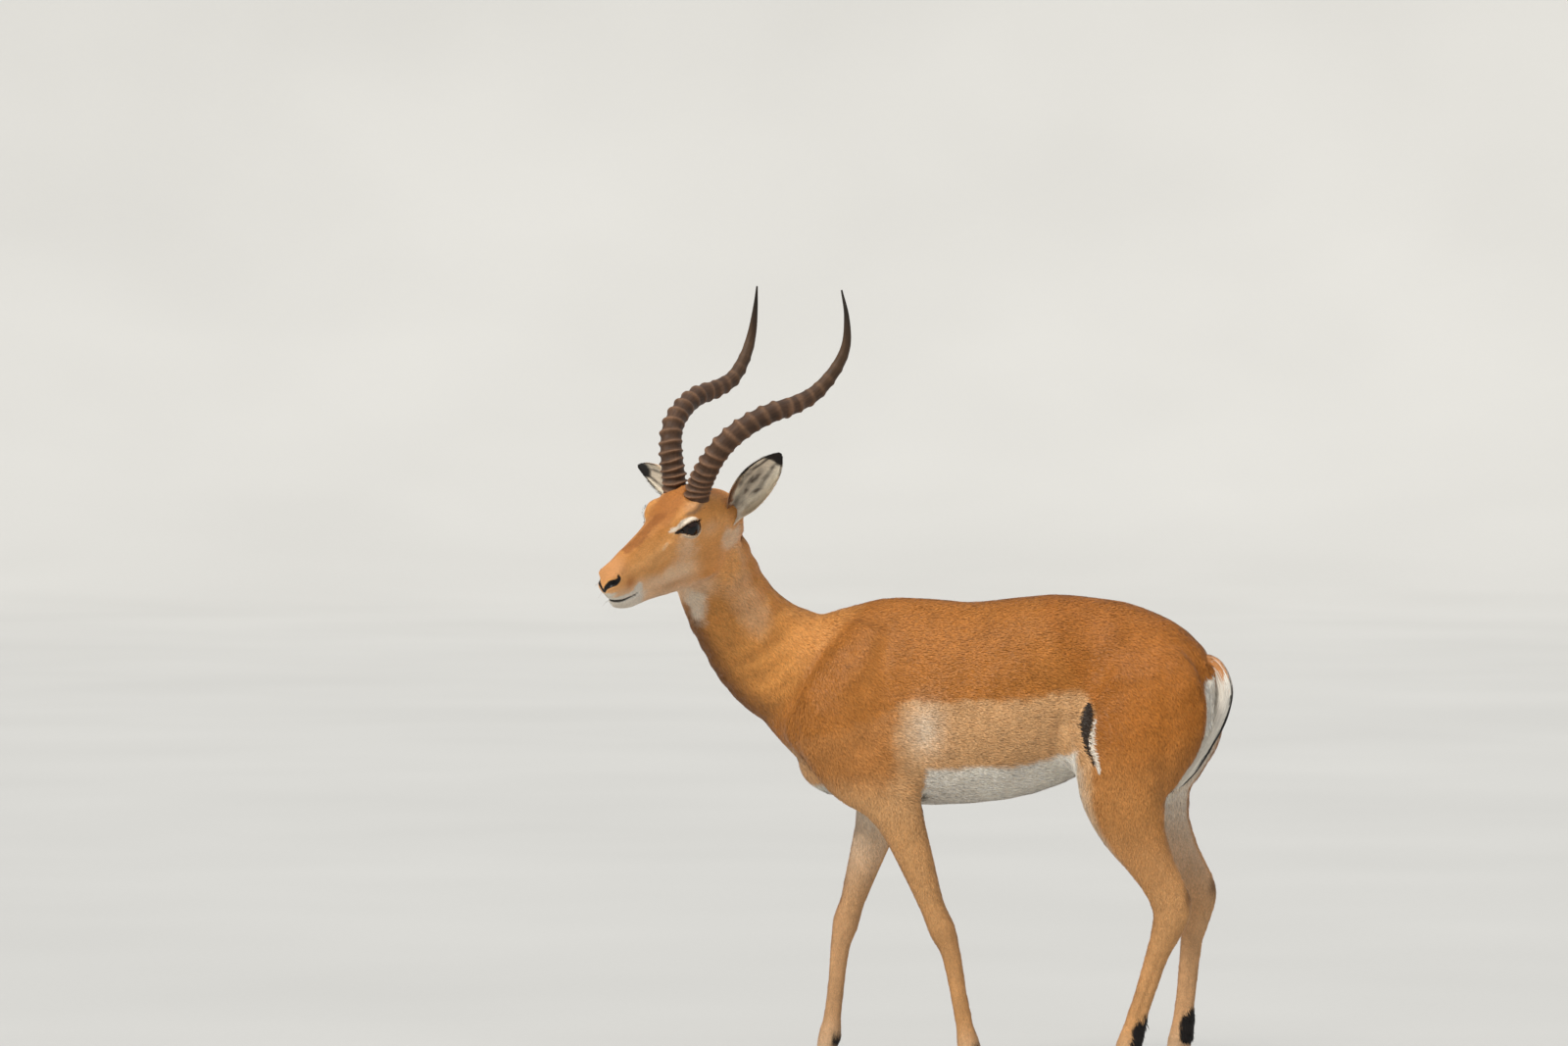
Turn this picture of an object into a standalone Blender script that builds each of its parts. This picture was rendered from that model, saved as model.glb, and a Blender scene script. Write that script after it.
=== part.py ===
"""Life-size model of a standing impala ram, as a museum shows one.

The ram faces -X with its left side towards -Y, and stands on its eight hoof claws at Z = 0.
Its neck bends to the left, so that the head looks out over the left shoulder. The left legs
close towards each other under the belly, and the right legs stand almost upright.

The flesh is one whole: trunk, neck, skull, jaw, shoulders, thighs and legs are lofts through
named stations, fused and smoothed, and then parted by thin cuts where a person would name
the parts. Eyes, horns, ears, tail and hoof claws are pieces of their own, let into it.
"""

import math
from collections import namedtuple

import bmesh
import bpy
import numpy as np
from mathutils import Vector

# ---------------------------------------------------------------- driving dimensions (metres)

NAME = "impala_ram"

GAP = 0.0004            # clearance between neighbouring pieces
CUT = 0.0005            # thickness of the cuts that part the flesh
VOXEL = 0.0045          # grain of the fused flesh
FLESH_TRIANGLES = 4300  # facets of all the flesh together
DETAIL_PULL = 0.04      # how strongly the head keeps finer facets than the rest

HEAD_AT = (-0.480, -0.100, 1.026)  # back of the skull
HEAD_YAW = 55.5         # degrees turned to the left of the trunk
HEAD_PITCH = 18.5       # degrees nose down
HEAD_ROLL = -11.5       # degrees, left side lower

EYE_RADIUS = 0.0195
EYE_AT = (0.125, 0.0425, 0.0530)   # in the head's own axes: forward, to the left, up

HORN_RINGS = 19
HORN_BASE_RADIUS = 0.0225
HORN_RING_END = 0.74    # share of the horn's length that carries rings
HORN_SIDES = 8

EAR_LENGTH = 0.156
EAR_WIDTH = 0.060
EAR_THICKNESS = 0.0035
EAR_ROOT_DEPTH = 0.016  # how deep its root is let into the head

TAIL_SIDES = 8
SIDES = 40              # points round a loft of the flesh

SOLE_LENGTH = 0.056     # of one hoof claw
SOLE_WIDTH = 0.0215
CLAW_HEIGHT = 0.036
CLAW_SPREAD = 0.0125    # from the foot's middle line to a claw's middle line

# ------------------------------------------------------------------------------ vector helpers


def unit(vector):
    vector = np.asarray(vector, float)
    return vector / np.linalg.norm(vector)


def through(keys, count):
    """Rows of numbers on a smooth curve through the rows of keys, evenly between each two."""
    keys = np.asarray(keys, float)
    last = len(keys) - 1
    rows = []
    for step in np.linspace(0, last, count):
        i = min(int(step), last - 1)
        t = step - i
        before = keys[max(i - 1, 0)]
        after = keys[min(i + 2, last)]
        a, b = keys[i], keys[i + 1]
        pull_a = (b - before) / 2
        pull_b = (after - a) / 2
        if i == 0:
            pull_a = b - a
        if i == last - 1:
            pull_b = b - a
        rows.append(
            (2 * t**3 - 3 * t**2 + 1) * a
            + (t**3 - 2 * t**2 + t) * pull_a
            + (3 * t**2 - 2 * t**3) * b
            + (t**3 - t**2) * pull_b
        )
    return np.array(rows)


def head_axes():
    """The head's forward, left and up directions in the world."""
    yaw, pitch, roll = (math.radians(a) for a in (HEAD_YAW, HEAD_PITCH, HEAD_ROLL))
    forward = np.array([
        -math.cos(yaw) * math.cos(pitch),
        -math.sin(yaw) * math.cos(pitch),
        -math.sin(pitch),
    ])
    level_left = np.array([math.sin(yaw), -math.cos(yaw), 0.0])
    level_up = np.cross(forward, level_left)
    left = math.cos(roll) * level_left + math.sin(roll) * level_up
    up = math.cos(roll) * level_up - math.sin(roll) * level_left
    return np.array([forward, left, up])


def head_point(point):
    """A point of the head, given forward, to the left and up from the back of the skull."""
    return np.array(HEAD_AT) + np.asarray(point, float) @ head_axes()


# -------------------------------------------------------------------------------- mesh helpers


def collection(name):
    made = bpy.data.collections.new(name)
    bpy.context.scene.collection.children.link(made)
    return made


def new_object(name, bm, home, material=None):
    mesh = bpy.data.meshes.new(name)
    bm.normal_update()
    bm.to_mesh(mesh)
    bm.free()
    made = bpy.data.objects.new(name, mesh)
    home.objects.link(made)
    if material:
        mesh.materials.append(material)
    return made


def oval(sides, squareness_up=2.0, squareness_down=2.0):
    """Points round an oval one unit in radius: 2 is an ellipse, more is squarer."""
    points = []
    for i in range(sides):
        angle = 2 * math.pi * i / sides
        c, s = math.cos(angle), math.sin(angle)
        power = 2 / (squareness_up if s >= 0 else squareness_down)
        points.append((
            math.copysign(abs(c) ** power, c),
            math.copysign(abs(s) ** power, s),
        ))
    return np.array(points)


def add_loft(bm, rings):
    """A closed tube through rings of points, with its first and last ring as flat ends."""
    rows = [[bm.verts.new(point) for point in ring] for ring in rings]
    for lower, upper in zip(rows, rows[1:]):
        for i in range(len(lower)):
            j = (i + 1) % len(lower)
            bm.faces.new((lower[i], lower[j], upper[j], upper[i]))
    bm.faces.new(reversed(rows[0]))
    bm.faces.new(rows[-1])
    bmesh.ops.recalc_face_normals(bm, faces=bm.faces)


def add_ball(bm, centre, radii, axes=None):
    """An ellipsoid with the given radii along its own three axes."""
    turn = np.eye(3) if axes is None else np.array(axes)
    made = bmesh.ops.create_icosphere(bm, subdivisions=4, radius=1.0)
    for vert in made["verts"]:
        vert.co = Vector(np.array(centre) + (np.array(vert.co) * np.array(radii)) @ turn)


def path_rings(keys, count, sides=SIDES, fore=(-1.0, 0.0, 0.0)):
    """Rings square to a path.

    A key is (x, y, z, half depth, half width, turn): the depth lies in the plane of the path
    and of the fore direction, which turn, in degrees, swings to the left.
    """
    rows = through(keys, count)
    centres = rows[:, :3]
    tangents = np.gradient(centres, axis=0)
    rings = []
    for row, tangent in zip(rows, tangents):
        turn = math.radians(row[5]) if len(row) > 5 else 0.0
        ahead = np.array(fore)
        ahead = np.array([
            ahead[0] * math.cos(turn) - ahead[1] * math.sin(turn),
            ahead[0] * math.sin(turn) + ahead[1] * math.cos(turn),
            ahead[2],
        ])
        along = unit(tangent)
        depth = unit(ahead - along * (ahead @ along))
        width = np.cross(along, depth)
        flat = oval(sides)
        rings.append(row[:3] + np.outer(flat[:, 0] * row[3], depth)
                     + np.outer(flat[:, 1] * row[4], width))
    return rings


# ------------------------------------------------------------------------ the body's stations

# across the trunk at x: the back line, the widest level, the belly line, half the width there,
# and how square the section is above and below
Slice = namedtuple("Slice", "x top wide bottom half_width square_up square_down")

TRUNK = (
    Slice(-0.425, 0.790, 0.715, 0.668, 0.045, 2.0, 2.0),
    Slice(-0.385, 0.835, 0.710, 0.625, 0.072, 2.0, 2.0),
    Slice(-0.330, 0.864, 0.700, 0.576, 0.092, 1.9, 2.0),
    Slice(-0.270, 0.882, 0.695, 0.550, 0.104, 1.8, 2.0),
    Slice(-0.205, 0.8975, 0.690, 0.531, 0.113, 1.75, 2.1),
    Slice(-0.130, 0.8970, 0.685, 0.526, 0.122, 1.85, 2.2),
    Slice(-0.050, 0.8915, 0.680, 0.530, 0.130, 2.0, 2.2),
    Slice(0.030, 0.9000, 0.685, 0.541, 0.133, 2.15, 2.2),
    Slice(0.100, 0.9060, 0.700, 0.562, 0.126, 2.2, 2.1),
    Slice(0.165, 0.9015, 0.720, 0.592, 0.113, 2.2, 2.0),
    Slice(0.235, 0.8910, 0.735, 0.615, 0.106, 2.1, 2.0),
    Slice(0.310, 0.8610, 0.730, 0.630, 0.094, 2.0, 2.0),
    Slice(0.358, 0.8240, 0.715, 0.640, 0.070, 2.0, 2.0),
    Slice(0.388, 0.7820, 0.705, 0.655, 0.040, 2.0, 2.0),
)

# along the neck: middle, half depth from nape to throat, half width, turn to the left
NECK = (
    (-0.285, 0.000, 0.740, 0.120, 0.088, 0),
    (-0.345, 0.000, 0.757, 0.110, 0.086, 4),
    (-0.396, -0.006, 0.781, 0.107, 0.079, 12),
    (-0.437, -0.022, 0.817, 0.096, 0.070, 24),
    (-0.474, -0.046, 0.872, 0.084, 0.064, 36),
    (-0.500, -0.074, 0.937, 0.081, 0.062, 48),
    (-0.512, -0.096, 0.985, 0.078, 0.060, 55),
    (-0.512, -0.108, 1.020, 0.060, 0.050, 55),
)

# across the head, forward from the back of the skull: top, widest level, bottom, half width
SKULL = (
    Slice(-0.022, 0.058, 0.026, -0.030, 0.036, 2.0, 2.0),
    Slice(0.005, 0.074, 0.030, -0.048, 0.051, 2.0, 2.0),
    Slice(0.045, 0.090, 0.034, -0.052, 0.058, 2.2, 2.0),
    Slice(0.080, 0.1040, 0.042, -0.048, 0.0555, 2.4, 2.0),
    Slice(0.108, 0.1030, 0.046, -0.042, 0.0520, 2.3, 2.0),
    Slice(0.135, 0.0905, 0.038, -0.040, 0.0470, 2.3, 2.0),
    Slice(0.165, 0.0730, 0.020, -0.040, 0.0410, 2.3, 2.1),
    Slice(0.200, 0.0590, 0.008, -0.038, 0.0345, 2.3, 2.2),
    Slice(0.235, 0.0465, 0.004, -0.036, 0.0280, 2.3, 2.3),
    Slice(0.262, 0.0385, 0.004, -0.0345, 0.0255, 2.3, 2.4),
    Slice(0.284, 0.0290, 0.004, -0.0320, 0.0250, 2.2, 2.4),
    Slice(0.299, 0.0170, 0.000, -0.0280, 0.0210, 2.1, 2.2),
    Slice(0.307, 0.0040, -0.006, -0.0200, 0.0110, 2.0, 2.0),
)
JAW = (
    Slice(0.020, 0.020, -0.018, -0.052, 0.034, 2.0, 2.0),
    Slice(0.050, 0.022, -0.020, -0.071, 0.044, 2.0, 2.0),
    Slice(0.085, 0.020, -0.022, -0.0790, 0.0455, 2.0, 2.1),
    Slice(0.120, 0.010, -0.024, -0.0785, 0.0405, 2.0, 2.1),
    Slice(0.160, 0.000, -0.030, -0.0740, 0.0320, 2.0, 2.1),
    Slice(0.200, -0.010, -0.036, -0.0690, 0.0250, 2.0, 2.1),
    Slice(0.235, -0.020, -0.040, -0.0660, 0.0215, 2.0, 2.2),
    Slice(0.262, -0.026, -0.043, -0.0640, 0.0205, 2.0, 2.3),
    Slice(0.280, -0.030, -0.043, -0.0570, 0.0165, 2.0, 2.1),
    Slice(0.290, -0.034, -0.042, -0.0500, 0.0085, 2.0, 2.0),
)

# a limb's stations: middle x, y outwards and z, then half the depth and half the width
Station = namedtuple("Station", "x y z depth width")

LEFT_FORE = (
    Station(-0.215, 0.052, 0.845, 0.046, 0.022),
    Station(-0.245, 0.078, 0.760, 0.078, 0.036),
    Station(-0.262, 0.090, 0.680, 0.092, 0.042),
    Station(-0.232, 0.092, 0.610, 0.084, 0.041),
    Station(-0.185, 0.088, 0.550, 0.060, 0.037),
    Station(-0.158, 0.086, 0.495, 0.043, 0.033),
    Station(-0.133, 0.085, 0.430, 0.033, 0.028),
    Station(-0.106, 0.084, 0.355, 0.0235, 0.0215),
    Station(-0.087, 0.083, 0.310, 0.0255, 0.0235),
    Station(-0.072, 0.082, 0.270, 0.0190, 0.0185),
    Station(-0.060, 0.081, 0.205, 0.0165, 0.0160),
    Station(-0.047, 0.081, 0.140, 0.0175, 0.0170),
    Station(-0.0405, 0.080, 0.108, 0.0225, 0.0215),
    Station(-0.034, 0.080, 0.076, 0.0180, 0.0190),
    Station(-0.029, 0.080, 0.050, 0.0215, 0.0225),
    Station(-0.026, 0.080, 0.033, 0.0235, 0.0235),
)
RIGHT_FORE = (
    Station(-0.215, 0.052, 0.845, 0.046, 0.022),
    Station(-0.250, 0.078, 0.760, 0.078, 0.036),
    Station(-0.275, 0.090, 0.680, 0.092, 0.042),
    Station(-0.255, 0.092, 0.610, 0.084, 0.041),
    Station(-0.228, 0.088, 0.550, 0.060, 0.037),
    Station(-0.238, 0.086, 0.495, 0.043, 0.033),
    Station(-0.258, 0.085, 0.430, 0.033, 0.028),
    Station(-0.283, 0.084, 0.350, 0.0235, 0.0215),
    Station(-0.296, 0.083, 0.307, 0.0255, 0.0235),
    Station(-0.306, 0.082, 0.266, 0.0190, 0.0185),
    Station(-0.313, 0.081, 0.200, 0.0165, 0.0160),
    Station(-0.320, 0.081, 0.138, 0.0175, 0.0170),
    Station(-0.324, 0.080, 0.108, 0.0225, 0.0215),
    Station(-0.333, 0.080, 0.076, 0.0180, 0.0190),
    Station(-0.340, 0.080, 0.050, 0.0215, 0.0225),
    Station(-0.344, 0.080, 0.033, 0.0235, 0.0235),
)
LEFT_HIND = (
    Station(0.240, 0.056, 0.815, 0.065, 0.030),
    Station(0.262, 0.080, 0.755, 0.108, 0.043),
    Station(0.270, 0.092, 0.690, 0.120, 0.047),
    Station(0.252, 0.100, 0.620, 0.104, 0.046),
    Station(0.243, 0.102, 0.560, 0.083, 0.042),
    Station(0.257, 0.100, 0.500, 0.064, 0.036),
    Station(0.285, 0.097, 0.445, 0.046, 0.029),
    Station(0.312, 0.094, 0.398, 0.038, 0.023),
    Station(0.326, 0.092, 0.360, 0.0375, 0.0220),
    Station(0.319, 0.091, 0.322, 0.0300, 0.0215),
    Station(0.300, 0.090, 0.275, 0.0225, 0.0190),
    Station(0.279, 0.090, 0.210, 0.0195, 0.0170),
    Station(0.259, 0.089, 0.150, 0.0200, 0.0175),
    Station(0.247, 0.088, 0.110, 0.0235, 0.0215),
    Station(0.234, 0.087, 0.078, 0.0185, 0.0190),
    Station(0.225, 0.087, 0.052, 0.0215, 0.0225),
    Station(0.221, 0.087, 0.033, 0.0235, 0.0235),
)
RIGHT_HIND = (
    Station(0.240, 0.056, 0.815, 0.065, 0.030),
    Station(0.262, 0.080, 0.755, 0.108, 0.043),
    Station(0.272, 0.092, 0.690, 0.120, 0.047),
    Station(0.258, 0.100, 0.620, 0.104, 0.046),
    Station(0.252, 0.102, 0.560, 0.083, 0.042),
    Station(0.268, 0.100, 0.500, 0.064, 0.036),
    Station(0.298, 0.097, 0.450, 0.046, 0.029),
    Station(0.325, 0.094, 0.408, 0.038, 0.023),
    Station(0.341, 0.092, 0.372, 0.0375, 0.0220),
    Station(0.340, 0.091, 0.333, 0.0285, 0.0215),
    Station(0.331, 0.090, 0.285, 0.0215, 0.0190),
    Station(0.323, 0.090, 0.210, 0.0190, 0.0170),
    Station(0.316, 0.089, 0.148, 0.0195, 0.0175),
    Station(0.311, 0.088, 0.110, 0.0230, 0.0215),
    Station(0.301, 0.087, 0.078, 0.0185, 0.0190),
    Station(0.294, 0.087, 0.052, 0.0215, 0.0225),
    Station(0.290, 0.087, 0.033, 0.0235, 0.0235),
)
LEGS = (
    ("foreleg_left", LEFT_FORE, -1),
    ("foreleg_right", RIGHT_FORE, 1),
    ("hindleg_left", LEFT_HIND, -1),
    ("hindleg_right", RIGHT_HIND, 1),
)

# the tail, from inside the rump down to its tip: middle, half depth, half width
TAIL = (
    (0.362, 0.0, 0.792, 0.016, 0.018),
    (0.389, 0.0, 0.776, 0.017, 0.019),
    (0.404, 0.0, 0.738, 0.015, 0.021),
    (0.395, 0.0, 0.692, 0.015, 0.026),
    (0.373, 0.0, 0.650, 0.016, 0.030),
    (0.349, 0.0, 0.610, 0.015, 0.027),
    (0.327, 0.0, 0.578, 0.009, 0.013),
    (0.319, 0.0, 0.565, 0.002, 0.003),
)

# a horn's middle line in the head's axes: forward, outwards, up
HORN = (
    (0.086, 0.0270, 0.078),
    (0.080, 0.0300, 0.106),
    (0.064, 0.0480, 0.152),
    (0.036, 0.0670, 0.188),
    (-0.008, 0.0810, 0.207),
    (-0.056, 0.0910, 0.2125),
    (-0.108, 0.0960, 0.2080),
    (-0.158, 0.1000, 0.2120),
    (-0.202, 0.1080, 0.2380),
    (-0.230, 0.1130, 0.2740),
    (-0.242, 0.1090, 0.3220),
    (-0.244, 0.1000, 0.3680),
)
# how far each horn's tip strays from that line, as no two horns grow quite alike
HORN_STRAY = {"left": (-0.003, 0.002, 0.018), "right": (0.002, 0.006, -0.017)}

# an ear's stations from its root to its tip: share of the length, share of the full width,
# and how deeply it is cupped, as a share of the full width
EAR = (
    (0.00, 0.34, 0.40),
    (0.10, 0.50, 0.42),
    (0.25, 0.92, 0.36),
    (0.42, 1.10, 0.28),
    (0.58, 1.08, 0.22),
    (0.74, 0.88, 0.16),
    (0.88, 0.54, 0.09),
    (0.96, 0.27, 0.04),
    (1.00, 0.10, 0.01),
)

# where each ear grows, which way its tip points and which way its hollow faces
Ear = namedtuple("Ear", "root tip hollow")
EARS = {
    "left": Ear((0.028, 0.056, 0.040), (-0.32, 0.53, 0.785), (0.62, 0.72, -0.10)),
    "right": Ear((0.028, -0.056, 0.028), (-0.17, -0.95, 0.26), (0.93, -0.30, -0.05)),
}
EAR_ARC_POINTS = 7
EAR_REACH = math.radians(80)  # half the angle of the arc across an ear
EAR_RINGS = 11


# ---------------------------------------------------------------------------------- materials


def paint(name, colour, roughness):
    material = bpy.data.materials.new(name)
    material.use_nodes = True
    shader = material.node_tree.nodes["Principled BSDF"]
    shader.inputs["Base Color"].default_value = (*colour, 1.0)
    shader.inputs["Roughness"].default_value = roughness
    shader.inputs["Metallic"].default_value = 0.0
    material.diffuse_color = (*colour, 1.0)
    return material


def coat_paints():
    return {
        "trunk": paint("trunk_coat", (0.45, 0.19, 0.06), 0.75),
        "neck": paint("neck_coat", (0.42, 0.19, 0.07), 0.75),
        "head": paint("head_coat", (0.46, 0.22, 0.09), 0.75),
        "tail": paint("tail_coat", (0.72, 0.66, 0.58), 0.8),
        "upper": paint("upper_leg_coat", (0.50, 0.27, 0.12), 0.75),
        "lower": paint("lower_leg_coat", (0.56, 0.34, 0.18), 0.75),
        "ear_left": paint("ear_left_coat", (0.55, 0.46, 0.38), 0.8),
        "ear_right": paint("ear_right_coat", (0.52, 0.44, 0.36), 0.8),
        "horn_left": paint("horn_left_keratin", (0.12, 0.075, 0.045), 0.55),
        "horn_right": paint("horn_right_keratin", (0.14, 0.085, 0.05), 0.55),
        "eye": paint("eye_dark", (0.012, 0.008, 0.006), 0.08),
        "hoof": paint("hoof_keratin", (0.03, 0.022, 0.018), 0.45),
    }


# --------------------------------------------------------------------------------- the flesh


def add_slices(bm, slices, count, place):
    """A loft across one axis: place turns (along, across, up) into a point of the world."""
    for_oval = through([tuple(s) for s in slices], count)
    rings = []
    for x, top, wide, bottom, half_width, square_up, square_down in for_oval:
        ring = []
        for across, up in oval(SIDES, square_up, square_down):
            height = (top - wide) if up >= 0 else (wide - bottom)
            ring.append(place((x, across * half_width, wide + up * height)))
        rings.append(ring)
    add_loft(bm, rings)


def add_legs(bm):
    for _, stations, side in LEGS:
        keys = [(s.x, side * s.y, s.z, s.depth, s.width) for s in stations]
        add_loft(bm, path_rings(keys, 5 * len(keys)))


def add_muscles(bm):
    """The masses that swell between the lofts."""
    axes = head_axes()
    for side in (-1, 1):
        # brow and socket round the eye, and the cheek's chewing muscle
        add_ball(bm, head_point((0.124, side * 0.0330, 0.060)), (0.033, 0.0235, 0.0290), axes)
        add_ball(bm, head_point((0.085, side * 0.030, -0.020)), (0.052, 0.0225, 0.046), axes)
        # swelling of each nostril's wing
        add_ball(bm, head_point((0.281, side * 0.0135, 0.010)), (0.020, 0.0135, 0.017), axes)
        # fold of skin from the flank to the stifle
        add_ball(bm, (0.165, side * 0.088, 0.665), (0.060, 0.030, 0.075))
        # triceps above the elbow
        add_ball(bm, (-0.190, side * 0.092, 0.640), (0.075, 0.034, 0.080))
        # point of the shoulder
        add_ball(bm, (-0.325, side * 0.064, 0.672), (0.055, 0.040, 0.062))
    # root of the horns on the crown
    add_ball(bm, head_point((0.083, 0.0, 0.086)), (0.030, 0.047, 0.023), axes)
    # breast between the forelegs
    add_ball(bm, (-0.262, 0.0, 0.602), (0.105, 0.066, 0.066))


def make_flesh(home):
    bm = bmesh.new()
    add_slices(bm, TRUNK, 60, lambda p: p)
    add_slices(bm, SKULL, 60, head_point)
    add_slices(bm, JAW, 44, head_point)
    add_loft(bm, path_rings(NECK, 34))
    add_legs(bm)
    add_muscles(bm)
    flesh = new_object("flesh", bm, home)
    fuse = flesh.modifiers.new("fuse", "REMESH")
    fuse.mode = "VOXEL"
    fuse.voxel_size = VOXEL
    fuse.adaptivity = 0.0
    soften = flesh.modifiers.new("soften", "SMOOTH")
    soften.factor = 0.5
    soften.iterations = 8
    apply_modifiers(flesh)
    weigh_detail(flesh)
    thin = flesh.modifiers.new("thin", "DECIMATE")
    thin.ratio = FLESH_TRIANGLES / count_triangles(flesh)
    thin.vertex_group = "coarse"
    thin.vertex_group_factor = DETAIL_PULL
    thin.use_collapse_triangulate = True
    apply_modifiers(flesh)
    return flesh


def weigh_detail(flesh):
    """Marks the trunk and neck as the places where wide facets do."""
    group = flesh.vertex_groups.new(name="coarse")
    axes = head_axes()
    origin = np.array(HEAD_AT)
    for vert in flesh.data.vertices:
        local = axes @ (np.array(vert.co) - origin)
        on_head = local[0] > 0.02 and local[2] > -0.10 and vert.co.z > 0.80
        weight = 0.9 if on_head else 1.0
        group.add([vert.index], weight, "REPLACE")


def count_triangles(made):
    return sum(len(polygon.vertices) - 2 for polygon in made.data.polygons)


def apply_modifiers(made):
    """Replaces the object's mesh by the mesh that its modifiers give."""
    graph = bpy.context.evaluated_depsgraph_get()
    graph.update()
    old = made.data
    made.data = bpy.data.meshes.new_from_object(made.evaluated_get(graph))
    made.modifiers.clear()
    bpy.data.meshes.remove(old)


def boolean(made, cutter, operation="DIFFERENCE"):
    modifier = made.modifiers.new(operation.lower(), "BOOLEAN")
    modifier.operation = operation
    modifier.solver = "EXACT"
    modifier.object = cutter
    apply_modifiers(made)


def trim(made, body, home):
    """Takes away from a piece what lies inside a body, and leaves a gap between the two."""
    bm = bmesh.new()
    bm.from_mesh(body.data)
    bm.normal_update()
    for vert in bm.verts:
        vert.co = vert.co + vert.normal * 2 * GAP
    boolean(made, as_cutter(new_object(body.name + "_without_" + made.name, bm, home)))


# ------------------------------------------------------------------------------------ the cuts

# a cut is a thin slab: its middle, the way it faces and half its spread each way
Slab = namedtuple("Slab", "name middle normal spread")


def slabs():
    axes = head_axes()
    nape = head_point((0.006, 0.0, -0.022))
    cuts = [
        Slab("cut_poll", nape, unit(-axes[0] * 0.85 - axes[2] * 0.53), (0.17, 0.17)),
        Slab("cut_neck_root", (-0.372, -0.002, 0.770), unit((-0.83, 0, 0.56)), (0.20, 0.20)),
    ]
    for name, stations, side in LEGS:
        if name.startswith("fore"):
            elbow = next(s for s in stations if s.z <= 0.56)
            knee = next(s for s in stations if s.z <= 0.31)
            top = Slab("cut_" + name + "_top", (elbow.x - 0.015, side * 0.0995, 0.540),
                       unit((0.30, -side * 0.50, 1.0)), (0.115, 0.100))
        else:
            knee = next(s for s in stations if s.z <= 0.378)
            top = Slab("cut_" + name + "_top", (0.262, side * 0.1030, 0.625),
                       unit((-0.34, -side * 0.30, 1.0)), (0.185, 0.100))
        cuts.append(top)
        cuts.append(Slab("cut_" + name + "_knee", (knee.x, side * knee.y, knee.z),
                         (0, 0, 1), (0.06, 0.05)))
        foot = stations[-1]
        cuts.append(Slab("cut_" + name + "_hoof", (foot.x, side * foot.y, CLAW_HEIGHT + 0.001),
                         (0, 0, 1), (0.05, 0.05)))
    return cuts


def make_slab(slab, home):
    """A thin plate that faces along the slab's normal, its first side as near to X as it can be."""
    normal = unit(slab.normal)
    first = unit(np.array((1.0, 0, 0)) - normal * normal[0])
    second = np.cross(normal, first)
    bm = bmesh.new()
    bmesh.ops.create_cube(bm, size=1.0)
    for vert in bm.verts:
        at = np.array(vert.co)
        vert.co = Vector(np.array(slab.middle) + first * at[0] * 2 * slab.spread[0]
                         + second * at[1] * 2 * slab.spread[1] + normal * at[2] * CUT)
    return as_cutter(new_object(slab.name, bm, home))


def as_cutter(made):
    made.hide_render = True
    made.display_type = "WIRE"
    return made


def seeds():
    """A point near the middle of each part of the flesh, by which the cut pieces are named."""
    found = {
        "head": head_point((0.12, 0.0, 0.0)),
        "neck": np.array((-0.45, -0.03, 0.84)),
        "trunk": np.array((0.0, 0.0, 0.72)),
    }
    for name, stations, side in LEGS:
        upper = next(s for s in stations if s.z <= (0.46 if name.startswith("fore") else 0.52))
        lower = next(s for s in stations if s.z <= 0.22)
        found[name + "_upper"] = np.array((upper.x, side * upper.y, upper.z))
        found[name + "_lower"] = np.array((lower.x, side * lower.y, lower.z))
    return found


def loose_parts(made):
    """The vertex indices of each connected piece of a mesh."""
    neighbours = [[] for _ in made.data.vertices]
    for edge in made.data.edges:
        a, b = edge.vertices
        neighbours[a].append(b)
        neighbours[b].append(a)
    seen = [False] * len(neighbours)
    parts = []
    for start in range(len(neighbours)):
        if seen[start]:
            continue
        seen[start] = True
        stack, part = [start], []
        while stack:
            here = stack.pop()
            part.append(here)
            for there in neighbours[here]:
                if not seen[there]:
                    seen[there] = True
                    stack.append(there)
        parts.append(part)
    return parts


def part_flesh(flesh, home, paints):
    """Splits the cut flesh into one object for each part, named by the nearest seed."""
    points = np.array([tuple(v.co) for v in flesh.data.vertices])
    named = {}
    for part in loose_parts(flesh):
        low, high = points[part].min(axis=0), points[part].max(axis=0)
        if high[2] < CLAW_HEIGHT + 0.005:
            continue  # the stub of a leg inside its hoof
        middle = (low + high) / 2
        name = min(seeds().items(), key=lambda item: np.linalg.norm(item[1] - middle))[0]
        kept = set(part)
        bm = bmesh.new()
        bm.from_mesh(flesh.data)
        bm.verts.ensure_lookup_table()
        gone = [v for v in bm.verts if v.index not in kept]
        bmesh.ops.delete(bm, geom=gone, context="VERTS")
        kind = name.rsplit("_", 1)[-1] if "_" in name else name
        named[name] = new_object(name, bm, home, paints[kind])
    return named


# ------------------------------------------------------------------------------ other pieces


def make_eye(side, home, paints=None, grow=0.0):
    name = "eye_" + ("left" if side > 0 else "right")
    bm = bmesh.new()
    bmesh.ops.create_uvsphere(bm, u_segments=12, v_segments=7, radius=EYE_RADIUS + grow)
    made = new_object(name, bm, home, paints and paints["eye"])
    x, y, z = EYE_AT
    made.location = Vector(head_point((x, side * y, z)))
    outward = head_axes()[1] * side
    made.rotation_euler = Vector(outward).to_track_quat("Z", "Y").to_euler()
    return made


def horn_radius(share):
    """The horn's radius without its rings, at a share of its length."""
    return HORN_BASE_RADIUS * (1.0 - 0.50 * share - 0.36 * share**3) * (1.0 - share**9) + 0.0016


def ring_shares():
    """Where the rings' crests lie: close together at the root, wide apart in the middle."""
    steps = [0.55 + 1.1 * math.sin(math.pi * min(1.0, (i + 1) / HORN_RINGS) * 0.62) ** 1.6
             for i in range(HORN_RINGS)]
    total = sum(steps)
    return [0.045 + (HORN_RING_END - 0.045) * sum(steps[:i + 1]) / total
            for i in range(HORN_RINGS)]


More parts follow.
